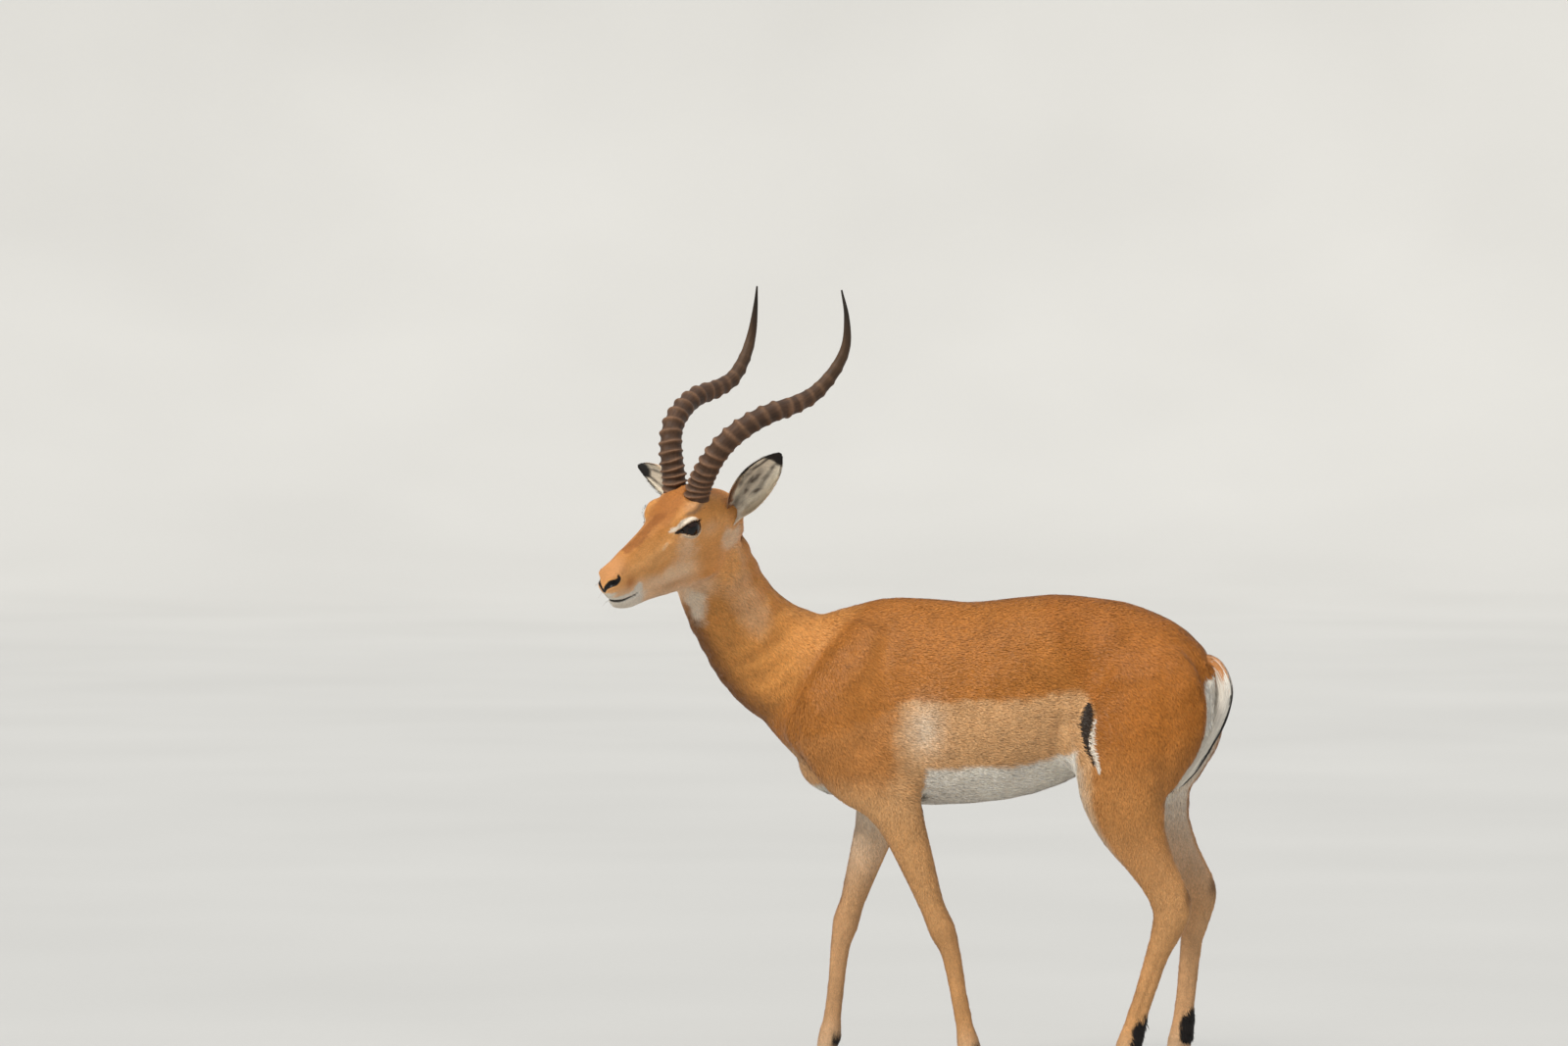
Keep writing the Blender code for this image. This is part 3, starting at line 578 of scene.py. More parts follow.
def muzzle_relief(points):
    """Mouth line, lips, nostrils and the groove under the nose."""
    both = folded_head(points)
    mouth = from_mouth(both)
    out = -0.0026 * bump(mouth, 0, 0.0017)
    out += 0.0012 * bump(mouth, 0.005, 0.0035)
    nostril = within_taper(both, NOSTRIL)
    out -= 0.0026 * ramp(nostril, 1.0, 0.45) * ramp(both[:, 2], -0.014, -0.004)
    out += 0.0014 * bump(nostril, 1.45, 0.35) * (both[:, 2] > 0.002)
    out -= 0.0055 * blob(both, NOSTRIL_PIT, (0.0075, 0.006, 0.0042))
    groove = distance_to_line(both, ((0.309, 0.0, 0.002), (0.307, 0.0, -0.01), (0.305, 0.0, -0.025)), 6)
    out -= 0.0011 * bump(groove, 0, 0.0013)
    return out


BODY_CREASES = (  # height, half width and the line that it follows, on both sides
    (-0.006, 0.024, ((-0.15, 0.11, 0.86), (-0.145, 0.12, 0.76), (-0.11, 0.12, 0.66))),
    (0.004, 0.02, ((-0.205, 0.08, 0.87), (-0.235, 0.1, 0.78), (-0.29, 0.1, 0.69))),
    (-0.004, 0.018, ((-0.25, 0.1, 0.8), (-0.225, 0.12, 0.72), (-0.215, 0.12, 0.64))),
    (-0.006, 0.034, ((0.17, 0.1, 0.85), (0.178, 0.11, 0.79), (0.15, 0.12, 0.74))),
    (0.0044, 0.026, ((0.205, 0.08, 0.868), (0.225, 0.1, 0.82), (0.235, 0.11, 0.77))),
    (0.0042, 0.011, ((0.135, 0.1, 0.73), (0.152, 0.12, 0.68), (0.16, 0.12, 0.62))),
    (-0.0046, 0.011, ((0.118, 0.1, 0.71), (0.133, 0.12, 0.668), (0.146, 0.12, 0.62))),
    (-0.0044, 0.015, ((0.31, 0.09, 0.78), (0.322, 0.12, 0.69), (0.318, 0.13, 0.6), (0.32, 0.12, 0.52))),
    (-0.003, 0.016, ((0.215, 0.12, 0.72), (0.225, 0.14, 0.64), (0.25, 0.13, 0.56))),
    (-0.0024, 0.007, ((0.02, 0.12, 0.84), (0.05, 0.13, 0.8), (0.085, 0.13, 0.772), (0.11, 0.12, 0.745))),
    (-0.0022, 0.007, ((0.06, 0.12, 0.85), (0.09, 0.12, 0.815), (0.12, 0.12, 0.795))),
    (-0.0018, 0.007, ((-0.02, 0.12, 0.82), (0.01, 0.13, 0.78), (0.035, 0.13, 0.75))),
)


def body_relief(points, normals):
    """Shoulder, hip, flank fold, ribs and muscle lines of the trunk and thighs."""
    both = folded_ram(points)
    sideways = ramp(np.abs(normals[:, 1]), 0.25, 0.7)
    on_body = ramp(both[:, 2], 0.5, 0.56) * ramp(both[:, 0], -0.4, -0.34)
    out = np.zeros(len(points))
    for height, width, line in BODY_CREASES:
        out += height * bump(distance_to_line(both, line, 10), 0, width)
    out += 0.0004 * np.sin(both[:, 0] / 0.0048 - both[:, 2] / 0.03) * blob(
        both, (0.03, 0.13, 0.7), (0.1, 0.08, 0.08))
    out += 0.0016 * noise(points, 0.045, 3) + 0.0008 * noise(points, 0.02, 4)
    return out * sideways * on_body


def neck_relief(points):
    """The vein's groove along the lower side of the neck, and soft folds where it bends."""
    ram = to_ram(points)
    on_neck = ramp(ram[:, 0], -0.34, -0.38) * ramp(ram[:, 2], 0.7, 0.74)
    groove = distance_to_line(ram, ((-0.505, -0.15, 0.925), (-0.485, -0.105, 0.87),
                                    (-0.455, -0.08, 0.81), (-0.415, -0.07, 0.745)), 10)
    out = -0.003 * bump(groove, 0, 0.01)
    along = ram @ unit(np.array((0.45, 0.15, -0.88)))
    out += 0.0008 * np.sin(along / 0.0062 + 2.0 * noise(ram, 0.05, 8)) * ramp(-ram[:, 1], -0.02, 0.06)
    out += 0.0007 * noise(points, 0.03, 5)
    return out * on_neck


def shank_relief(points, normals):
    """Grooves between the bone and the tendons of each lower leg, and the knuckles of its joints."""
    x, _, z = to_ram(points).T
    out = np.zeros(len(points))
    for leg in LEGS:
        low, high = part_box(leg + "_lower")
        inside = ((points > np.array(low) - 0.002) & (points < np.array(high) + 0.002)).all(1)
        band = inside & (z > 0.12) & (z < 0.29)
        back = x - np.polyval(np.polyfit(z[band], x[band], 2), z)  # behind the leg's middle line
        groove = bump(back, 0.0055, 0.0035) * ramp(np.abs(normals[:, 1]), 0.5, 0.9)
        length = ramp(z, 0.115, 0.15) * ramp(z, 0.3, 0.255)
        out -= 0.0017 * groove * length * inside
        out += 0.0008 * bump(back, 0.015, 0.004) * length * inside
    return out


# -------------------- the markings, with painted shade and highlights among them


def tone(red, green, blue):
    """A colour given as it looks on screen, 0 to 255, as linear light."""
    shown = np.array((red, green, blue)) / 255
    return np.where(shown <= 0.04045, shown / 12.92, ((shown + 0.055) / 1.055) ** 2.4)


RUFOUS = tone(179, 113, 46)
SPINE = tone(150, 90, 36)
FAWN = tone(208, 160, 110)
NECK_SIDE = tone(208, 142, 72)
# painted shade: darker brown laid on the lower front of the neck, where it faces forward and down
NECK_FRONT_SHADE = tone(112, 66, 30)
THIGH = tone(172, 105, 38)
LEG = tone(206, 154, 100)
PALE = tone(226, 204, 178)
WHITE = tone(232, 224, 211)
BLACK = tone(20, 15, 13)
FOREHEAD = tone(180, 114, 52)
BRIDGE = tone(150, 88, 34)
JAW = tone(222, 188, 154)
# painted shade: the colour laid in the grooves between the temple folds
TEMPLE_GROOVE_SHADE = tone(112, 72, 42)
FACE_GOLD = tone(230, 168, 102)
FACE_PALE = tone(240, 206, 170)
LIP_WHITE = tone(228, 220, 206)


def mix(base, colour, share):
    """The base colours with this share of another colour laid over each."""
    share = np.clip(share, 0, 1)[:, None]
    return base + (colour - base) * share


class Coating:
    """Colours at many points, laid on in thin layers."""

    def __init__(self, colour, count):
        self.colours = np.tile(colour, (count, 1))

    def lay(self, colour, share):
        """Lays a colour over this share of what is there."""
        self.colours = mix(self.colours, colour, share)


# along the body, and the height of the lower edge of its dark back and of the upper edge of its white belly
SADDLE_EDGE = ((-0.6, 0.6), (-0.3, 0.66), (-0.2, 0.69), (-0.153, 0.718), (-0.064, 0.7165),
               (0.009, 0.722), (0.087, 0.729), (0.14, 0.738), (0.17, 0.738), (0.19, 0.724),
               (0.202, 0.69), (0.22, 0.62), (0.6, 0.5))
BELLY_EDGE = ((-0.4, 0.56), (-0.25, 0.58), (-0.12, 0.6), (0.0, 0.604), (0.09, 0.618),
              (0.17, 0.64), (0.5, 0.6))
# height, and how far the white of the buttocks reaches to either side
RUMP_EDGE = ((0.46, 0.04), (0.52, 0.064), (0.6, 0.074), (0.68, 0.07), (0.73, 0.06), (0.76, 0.045),
             (0.785, 0.0))
# lines with their half widths: the marks of the buttocks from behind; from the side, the white line of the
# flank fold and the painted shade in the fold
BUTTOCK_STRIPE = ((0.05, 0.768, 0.002), (0.062, 0.73, 0.0058), (0.072, 0.68, 0.008),
                  (0.077, 0.62, 0.0064), (0.072, 0.56, 0.002))
FLANK_WHITE = ((0.19, 0.69, 0.0028), (0.185, 0.666, 0.0044), (0.1845, 0.646, 0.005),
               (0.1915, 0.626, 0.005), (0.202, 0.606, 0.004))
FLANK_FOLD_SHADE = ((0.177, 0.714, 0.006), (0.175, 0.696, 0.0128), (0.172, 0.676, 0.0112),
               (0.173, 0.656, 0.0066), (0.1775, 0.636, 0.0044), (0.189, 0.615, 0.0024))
PALE_NECK_LINES = (((-0.46, -0.13, 0.99), (-0.45, -0.116, 0.937), (-0.428, -0.096, 0.872)),
                   ((-0.56, -0.062, 0.99), (-0.546, -0.033, 0.937), (-0.512, 0.006, 0.872)))


def body_colours(points, normals):
    """Colours of trunk, neck and legs."""
    both = folded_ram(points)
    x, out, z = both.T
    rough = 0.012 * noise(points, 0.05, 11) + 0.006 * noise(points, 0.012, 12)
    coat = Coating(RUFOUS, len(points))
    coat.lay(SPINE, 0.55 * ramp(out + rough, 0.03, 0.004) * ramp(normals[:, 2], 0.3, 0.9)
                  * ramp(x, -0.22, -0.12))
    edge = level_at(x, SADDLE_EDGE)
    coat.lay(FAWN, ramp(z + rough, edge + 0.008, edge - 0.01))
    patch = blob(both + rough[:, None] * 0.5, (-0.118, 0.115, 0.668), (0.034, 0.05, 0.044))
    coat.lay(PALE, 0.75 * patch)
    # shoulder, chest and neck, with painted shade on the lower front of the neck
    shoulder = ramp(x + rough, -0.15, -0.19) * ramp(z, 0.52, 0.6) * ramp(out, 0.03, 0.06)
    coat.lay(tone(176, 112, 48), 0.85 * shoulder)
    on_neck = ramp(x - 0.75 * (z - 0.75) + rough, -0.335, -0.375)
    coat.lay(NECK_SIDE, on_neck)
    for line in PALE_NECK_LINES:
        side = distance_to_line(to_ram(points), line, 10)
        coat.lay(tone(234, 188, 142), 0.6 * on_neck * ramp(side + rough, 0.05, 0.012))
    # painted shade: the lower front of the neck, where it faces forward and down, is darkened as if in shadow
    facing = normals @ unit(np.array((-0.85, -0.2, -0.45)))
    neck_shade_band = ramp(z, 0.6, 0.68) * ramp(z, 0.96, 0.84)
    coat.lay(NECK_FRONT_SHADE, on_neck * 0.75 * ramp(facing, 0.35, 0.9) * neck_shade_band)
    # thigh, with its pale front edge
    thigh = ramp(x + 0.5 * rough + 0.6 * (z - 0.7).clip(0) - 0.1 * (0.62 - z).clip(0), 0.18, 0.2)
    coat.lay(THIGH, thigh)
    coat.lay(tone(192, 132, 72), thigh * ramp(z + rough, 0.7, 0.52))
    coat.lay(tone(204, 148, 92), thigh * ramp(z + rough, 0.54, 0.42))
    front = ramp(normals[:, 0], -0.35, -0.85) * ramp(x, 0.1, 0.16) * ramp(z, 0.72, 0.66) * ramp(z, 0.4, 0.46)
    coat.lay(PALE, 0.8 * front)
    # legs
    leg = np.maximum(ramp(z + rough, 0.62, 0.46) * ramp(x, 0.1, 0.0), ramp(z + rough, 0.46, 0.34))
    coat.lay(LEG, leg)
    coat.lay(tone(214, 178, 140), leg * ramp(z, 0.16, 0.06))
    shin = leg * ramp(normals[:, 0], -0.5, -0.95) * ramp(z, 0.13, 0.2)
    coat.lay(tone(178, 124, 78), 0.45 * shin)
    inward = -normals[:, 1] * np.sign(to_ram(points)[:, 1])
    inner = ramp(inward + 3 * rough, 0.15, 0.65) * ramp(z, 0.7, 0.62)
    coat.lay(PALE, inner * (0.15 + 0.6 * ramp(z, 0.34, 0.5)))
    coat.lay(WHITE, inner * 0.6 * ramp(z, 0.46, 0.56))
    # white belly and breast, groin and the insides of the thighs
    edge = level_at(x, BELLY_EDGE)
    under = ramp(z + 0.5 * rough, edge + 0.006, edge - 0.008) * ramp(z, 0.47, 0.5)
    widest = np.interp(x, (-0.2, -0.14, -0.09, 0.14, 0.2), (0.062, 0.08, 0.15, 0.15, 0.075)) + rough
    trunk_only = ramp(out, widest, widest - 0.018)
    coat.lay(WHITE, under * trunk_only * ramp(normals[:, 2], 0.2, -0.15))
    # buttocks: white between the two black stripes
    rear = ramp(normals[:, 0], 0.05, 0.35) * ramp(x, 0.24, 0.29)
    edge = level_at(z, RUMP_EDGE) + 0.4 * rough
    coat.lay(WHITE, rear * ramp(out, edge + 0.003, edge - 0.004) * ramp(z, 0.46, 0.5)
                  * ramp(z, 0.78, 0.768))
    stripe = within_taper(both[:, 1:] + 0.1 * rough[:, None], BUTTOCK_STRIPE)
    coat.lay(BLACK, 0.97 * rear * ramp(stripe, 1.15, 0.8))
    # white line of the flank fold, and painted shade: a black drop in the fold
    seen = both[:, ::2]
    sideways = ramp(np.abs(normals[:, 1]), 0.15, 0.45)
    behind = within_taper(seen + 0.15 * rough[:, None], FLANK_WHITE)
    coat.lay(LIP_WHITE, 0.9 * sideways * ramp(behind, 1.15, 0.65))
    fold_shade = within_taper(seen + 0.08 * rough[:, None], FLANK_FOLD_SHADE)
    coat.lay(BLACK, 0.97 * ramp(fold_shade, 1.1, 0.8) * sideways)
    return coat.colours


def shank_marks(points, colours, back):
    """Black marks of the lower legs; back is how far a point lies behind its leg's middle."""
    ram = to_ram(points)
    z = ram[:, 2]
    hind = ram[:, 0] > 0.08
    rough = 0.004 * noise(points, 0.006, 23)
    gland = ((z - 0.137) / 0.033) ** 2 + ((back + rough - 0.02).clip(None, 0) / 0.019) ** 2
    colours = mix(colours, BLACK, ramp(gland, 1.15, 0.75) * hind)
    hock = ramp(back, 0.02, 0.03) * bump(z, 0.385, 0.018)
    colours = mix(colours, tone(92, 58, 36), 0.6 * hock * hind)
    heel = ramp(back, 0.006, 0.012) * bump(z, 0.1, 0.012)
    colours = mix(colours, BLACK, heel * ~hind)
    pastern = ramp(back, -0.004, -0.012) * bump(z, 0.05, 0.008)
    return mix(colours, tone(120, 88, 62), 0.6 * pastern)


def head_colours(points, normals):
    """Colours of the head, from the nose to behind the ears."""
    both = folded_head(points)
    u, v, w = both.T
    rough = 0.004 * noise(points, 0.018, 21) + 0.0025 * noise(points, 0.006, 22)
    up = normals @ AXES[2]
    coat = Coating(FACE_GOLD, len(points))
    coat.lay(tone(210, 146, 78), ramp(w + rough, 0.03, 0.06))
    coat.lay(tone(218, 152, 84), 0.8 * blob(both, (0.09, 0.047, -0.02), (0.04, 0.03, 0.036)))
    # the pale lower face, and the pale band that runs down to it from below the eye
    coat.lay(FACE_PALE, 0.8 * ramp(w + rough, 0.0, -0.03) * ramp(u, 0.095, 0.15))
    below = distance_to_line(both, ((0.134, 0.048, 0.028), (0.136, 0.044, 0.01), (0.15, 0.036, -0.012),
                                    (0.175, 0.03, -0.034)), 10)
    coat.lay(FACE_PALE, 0.7 * ramp(below + 2 * rough, 0.032, 0.002))
    # forehead, and the bridge of the nose with its dark middle strip
    crown = ramp(up + 12 * rough, 0.25, 0.65) * ramp(v + rough, 0.04, 0.026)
    coat.lay(tone(200, 136, 70), crown)
    coat.lay(FOREHEAD, crown * ramp(u, 0.2, 0.14) * ramp(v + rough, 0.034, 0.02))
    strip = distance_to_line(both, ((0.16, 0.003, 0.078), (0.195, 0.003, 0.061), (0.24, 0.003, 0.046)), 10)
    coat.lay(BRIDGE, 0.75 * ramp(strip + rough, 0.014, 0.005))
    coat.lay(tone(206, 146, 90), ramp(up, 0.1, 0.5) * ramp(u, 0.246, 0.278))
    coat.lay(tone(196, 132, 68), ramp(u, 0.04, 0.005) * ramp(w, -0.02, 0.02))
    # painted highlight: a pale pinkish patch where light catches the brow ridge between the horn and the eye
    coat.lay(tone(222, 182, 146), 0.5 * blob(both, (0.114, 0.045, 0.09), (0.02, 0.012, 0.008)))
    coat.lay(JAW, 0.8 * ramp(w + rough, -0.05, -0.064) * ramp(u, 0.05, 0.09))
    coat.lay(tone(190, 134, 84), 0.6 * blob(both, (0.165, 0.034, -0.046), (0.045, 0.03, 0.01)))
    # brown patch behind the nostril, white lips and chin
    coat.lay(tone(184, 118, 64), 0.8 * blob(both, (0.262, 0.024, -0.008), (0.012, 0.014, 0.012)))
    mouth = from_mouth(both)
    above_mouth = w > level_at(u, MOUTH)
    lip = ramp(mouth + rough, 0.0115, 0.007) * above_mouth * ramp(u, 0.23, 0.242)
    lip = np.maximum(lip, ramp(np.linalg.norm(both - (0.242, 0.0235, -0.027), axis=1) + rough, 0.012, 0.006))
    lip = np.maximum(lip, ramp(w + rough, -0.012, -0.017) * ramp(u, 0.288, 0.298))
    chin = (1 - above_mouth) * ramp(u + rough, 0.218, 0.24) * ramp(w, -0.028, -0.034)
    coat.lay(LIP_WHITE, 0.92 * np.maximum(lip, chin))
    coat.lay(tone(176, 160, 142), 0.5 * blob(both, (0.284, 0.01, -0.056), (0.016, 0.012, 0.008)))
    # pale skin behind the eye; round it black rims, a white crescent above with a painted brow shadow over it,
    # and a grey lid below with painted shade in the furrow under it
    coat.lay(tone(226, 180, 134), 0.65 * blob(both, (0.084, 0.053, 0.038), (0.018, 0.022, 0.013)))
    for side in (1, -1):
        distance, ahead, above, outward = eye_directions(points, side)
        near = (distance < 0.05) & (outward > -0.012)
        opening = np.where(near, lid_opening(ahead, above), 99.0)
        upper = ramp(above, -0.06, 0.1)
        reach = 3.2 + 0.35 * ramp(ahead, 0.0, 0.5) - 1.5 * ramp(ahead, 0.6, 1.1)
        reach = reach - 1.3 * ramp(ahead, 0.0, -0.5) + 45 * rough
        ring = ramp(opening, 1.15, 1.35) * ramp(opening, reach + 0.35, reach - 0.25)
        # painted shade: a grey-brown band of brow shadow above and behind the white crescent
        shade = bump(opening, 4.3, 0.75) * ramp(ahead, 0.5, 0.1)
        coat.lay(tone(136, 104, 78), 0.75 * upper * shade)
        coat.lay(tone(234, 220, 200), 0.95 * ramp(ahead, -0.5, -0.05) * ring * upper)
        lower = (1 - upper) * ramp(opening, 1.1, 1.3) * ramp(ahead, 1.1, 0.6) * ramp(ahead, -0.65, -0.3)
        coat.lay(tone(226, 206, 180), 0.9 * lower * ramp(opening, 4.0, 2.4))
        # painted shade: a dark line in the furrow under the lower lid
        lid_crease_shade = bump(opening, 2.3, 0.22) * ramp(ahead, -0.5, -0.1)
        coat.lay(tone(112, 86, 64), 0.7 * lower * lid_crease_shade)
        coat.lay(BLACK, ramp(opening, 1.2, 1.06))
    duct = within_taper(both, ((0.139, 0.0515, 0.054, 0.006), (0.148, 0.0445, 0.053, 0.0046),
                               (0.159, 0.038, 0.0515, 0.0015)), 12)
    coat.lay(BLACK, 0.97 * ramp(duct, 1.15, 0.85))
    # painted highlight: a pale lit line along the fold that runs forward and down from the corner of the eye
    lit_crease = distance_to_line(both, ((0.16, 0.038, 0.05), (0.174, 0.036, 0.04), (0.186, 0.034, 0.03)), 8)
    coat.lay(tone(232, 194, 150), 0.6 * ramp(lit_crease + 0.3 * rough, 0.0032, 0.001))
    # painted shade in the grooves between the folds before the ear; pale hair below and behind it
    for shift in (-0.006, 0.005, 0.016):
        fold = distance_to_line(both, ((0.046 + shift, 0.05, 0.084), (0.05 + shift, 0.058, 0.062),
                                       (0.055 + shift, 0.06, 0.04)), 8)
        coat.lay(TEMPLE_GROOVE_SHADE, 0.85 * bump(fold, 0, 0.0028) * ramp(w, 0.036, 0.05))
    behind = blob(both + 1.5 * rough[:, None], (0.028, 0.05, -0.002), (0.03, 0.034, 0.024))
    coat.lay(tone(238, 208, 174), 0.92 * ramp(behind, 0.15, 0.7))
    # bare black nose: two comma-shaped nostrils that meet in the middle, and the line down to the lip
    thick = 0.0008 + 0.0014 * ramp(u, 0.255, 0.29)
    black = nose_pattern(both, 1.0)
    black = np.maximum(black, 0.95 * ramp(mouth, thick + 0.001, thick) * ramp(u, 0.24, 0.247))
    coat.lay(tone(17, 14, 14), black)
    return coat.colours


def nose_pattern(both, reach):
    """1 on the black of the nose: nostrils, this much wider than their plain form, and the groove below."""
    black = ramp(within_taper(both, NOSTRIL), 1.08 * reach, 0.82 * reach)
    deep = np.linalg.norm(both - NOSTRIL_DEEP, axis=1)
    black = np.maximum(black, ramp(deep, 0.0076 * reach, 0.0068 * reach))
    groove = distance_to_line(both, ((0.306, 0.0, -0.01), (0.306, 0.0, -0.018), (0.304, 0.0, -0.027)), 6)
    return np.maximum(black, ramp(groove, 0.0022, 0.0013))


def coat_colours(points, normals, owners, back):
    """Every marking of the ram, with the painted shade and highlights among them, for skin and hair alike."""
    ram, head = to_ram(points), to_head(points)
    colours = shank_marks(points, body_colours(points, normals), back)
    on_head = ramp(head[:, 0] + 0.004 * noise(points, 0.02, 31), -0.004, 0.02) * ramp(ram[:, 2], 0.78, 0.8)
    on_head = on_head * ramp(head[:, 2] + 0.5 * head[:, 0] + 0.006 * noise(points, 0.02, 36), -0.082, -0.05)
    on_head = on_head * (owners < 2)
    colours = colours + (head_colours(points, normals) - colours) * on_head[:, None]
    # white throat
    patch = blob(folded_head(points) + 0.006 * noise(points, 0.02, 32)[:, None],
                 (0.086, 0.0, -0.12), (0.03, 0.018, 0.034))
    colours = mix(colours, tone(234, 218, 196), 0.8 * ramp(patch, 0.12, 0.7) * (owners < 2))
    # the tail: white with a black middle line, rufous at its root
    on_tail = owners == TAIL
    y = ram[:, 1] + 0.002 * noise(points, 0.01, 33)
    tail = mix(np.tile(WHITE, (len(points), 1)), BLACK,
               ramp(np.abs(y), 0.0075, 0.0045) * ramp(ram[:, 2], 0.752, 0.735) * (normals[:, 0] > -0.2))
    tail = mix(tail, RUFOUS, ramp(ram[:, 2] + 0.4 * y, 0.735, 0.765))
    colours = np.where(on_tail[:, None], tail, colours)
    shade = 1 + 0.09 * noise(points, 0.035, 34) + 0.06 * noise(points, 0.009, 35)
    return np.clip(colours * shade[:, None], 0.002, 0.95)


# -------------------- making the skin


def behind_shank(points):
    """How far each point lies behind the middle line of its own leg, in metres."""
    ram = to_ram(points)
    back = np.zeros(len(points))
    around = 0.03
    for leg in LEGS:
        low, high = (np.array(corner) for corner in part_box(leg + "_lower"))
        flesh = points_of(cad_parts[leg + "_lower"].data) - MIDDLE
        levels = np.linspace(0.045, high[2], 9)
        middles = []
        for level in levels:
            band = flesh[np.abs(flesh[:, 2] - level) < 0.03]
            middles.append((band[:, 0].min() + band[:, 0].max()) / 2)
        inside = ((points[:, :2] > low[:2] - around) & (points[:, :2] < high[:2] + around)).all(1)
        inside &= ram[:, 2] < high[2] + 0.05
        back = np.where(inside, ram[:, 0] - np.interp(ram[:, 2], levels, middles), back)
    return back


NECK_WAY = np.array((0.235, 0.1, -0.262))  # the way that the neck runs, from the head to the trunk


def among(owners, nodes):
    """Whether each owner, a number in HAIRY_NODES, is one of these nodes."""
    return np.isin(owners, [HAIRY_NODES.index(node) for node in nodes])


def lie_of_coat(points, normals, owners):
    """The direction in which the hair lies at each point, before it is evened out."""
    x, out, z = folded_ram(points).T
    side = np.sign(to_ram(points)[:, 1])
    back = np.array((1.0, 0.0, -0.16))
    down = np.array((0.1, 0.0, -1.0))
    slant = np.array((0.55, 0.0, -0.8))
    share = ramp(x, -0.12, -0.24) * ramp(out, 0.05, 0.08)
    share = np.maximum(share, ramp(x, 0.17, 0.26) * ramp(z, 0.86, 0.8))
    trunk = back + (slant - back) * share[:, None]
    steep = np.maximum(ramp(normals[:, 0], 0.35, 0.75) * ramp(x, 0.2, 0.3), ramp(normals[:, 0], -0.3, -0.7))
    lie = trunk + (down - trunk) * steep[:, None]
    on_head = -AXES[0] - AXES[2] * 0.3 * ramp(to_head(points)[:, 2], 0.03, -0.03)[:, None]
    on_tail = np.stack((-0.25 * ramp(z, 0.74, 0.66) + 0.1, 0.12 * side, -np.ones(len(z))), 1)
    for nodes, way in ((["head"], on_head), (["neck"], unit(NECK_WAY)), (LEG_NODES, down), (["tail"], on_tail)):
        lie = np.where(among(owners, nodes)[:, None], way, lie)
    return lie


class Skin:
    """The finished skin: its points, normals and triangles, the nodes that own its points, the lie of
    the hair and where hair grows."""

    mesh = None

    @classmethod
    def keep(cls, mesh):
        cls.mesh = mesh
        cls.points = points_of(mesh)
        cls.normals = normals_of(mesh)
        cls.owners = nearest_nodes(cls.points)
        lie = lie_of_coat(cls.points, cls.normals, cls.owners)
        lie = spread(mesh, unit(lie), 16)
        lie += 0.13 * np.stack([noise(cls.points, 0.06, 40 + k) for k in range(3)], 1)
        lie -= cls.normals * (lie * cls.normals).sum(1)[:, None]
        cls.lie = unit(lie)
        cls.triangles = triangles_of(mesh)
        cls.growth = np.ones(len(cls.points))

    @classmethod
    def cast(cls, starts, ways):
        """Where lines from these points first meet the skin, and the normals there."""
        tree = BVHTree.FromPolygons(cls.points.tolist(), cls.triangles.tolist())
        found = [tree.ray_cast(Vector(start), Vector(way)) for start, way in zip(starts, ways)]
        hit = [item for item in found if item[0] is not None]
        if len(hit) < len(found):
            hit += [hit[0]] * (len(found) - len(hit))
        return np.array([item[0] for item in hit]), np.array([item[1] for item in hit])


def sculpted_skin():
    """The fused flesh, evened out and sunk by the coat's depth, with all its folds and features."""
    mesh = fused_flesh()
    Outline.keep(mesh)
    points = points_of(mesh)
    ram, head = to_ram(points), to_head(points)
    on_head = ramp(head[:, 0], -0.01, 0.03) * ramp(ram[:, 2], 0.82, 0.86)
    slender = np.maximum(0.85 * on_head, 0.9 * ramp(ram[:, 2], 0.58, 0.48))
    near_tail = (ram[:, 0] > 0.372) & (np.abs(ram[:, 1]) < 0.04) & (ram[:, 2] < 0.79)
    strength = np.where(near_tail, 0.1, 1 - slender)
    smooth(mesh, 20, 0.6, 0.54, strength)
    smooth(mesh, 4, 0.45, 0.4, 1.0)
    restore_outline(mesh, 8, np.where(near_tail, 0.2, 1.0))
    points = points_of(mesh)
    normals = normals_of(mesh)
    out = body_relief(points, normals) + neck_relief(points) + shank_relief(points, normals)
    move_points(mesh, points + normals * out[:, None])
    smooth(mesh, 2, 0.4, 0.36, 1.0)
    # finer faces on the head, then on the muzzle and round the eyes
    head = to_head(points_of(mesh))
    refine(mesh, (head[:, 0] > 0.035) & (head[:, 2] > -0.095) & (np.abs(head[:, 1]) < 0.09))
    head = to_head(points_of(mesh))
    smooth(mesh, 4, 0.5, 0.45, (head[:, 0] > 0.02).astype(float))
    head = to_head(points_of(mesh))
    face = (head[:, 0] > 0.255) & (head[:, 2] > -0.075)
    for side in (1, -1):
        face |= np.linalg.norm(head - EYE_AT * (1, side, 1), axis=1) < 0.034
    refine(mesh, face)
    head = to_head(points_of(mesh))
    smooth(mesh, 3, 0.5, 0.45, (head[:, 0] > 0.02).astype(float))
    head = to_head(points_of(mesh))
    lower_face = ramp(head[:, 2], -0.012, -0.036) * ramp(head[:, 0], 0.06, 0.11)
    restore_outline(mesh, 12, lower_face * (to_ram(points_of(mesh))[:, 2] > 0.84))
    points = points_of(mesh)
    on_head = ramp(to_head(points)[:, 0], 0.0, 0.03) * (to_ram(points)[:, 2] > 0.82)
    relief = head_relief(points) * on_head
    move_points(mesh, points + normals_of(mesh) * relief[:, None])
    points = points_of(mesh)
    relief = muzzle_relief(points) * (to_head(points)[:, 0] > 0.2) * (to_ram(points)[:, 2] > 0.82)
    move_points(mesh, points + normals_of(mesh) * relief[:, None])
    shape_lids(mesh)
    return mesh


# -------------------- materials


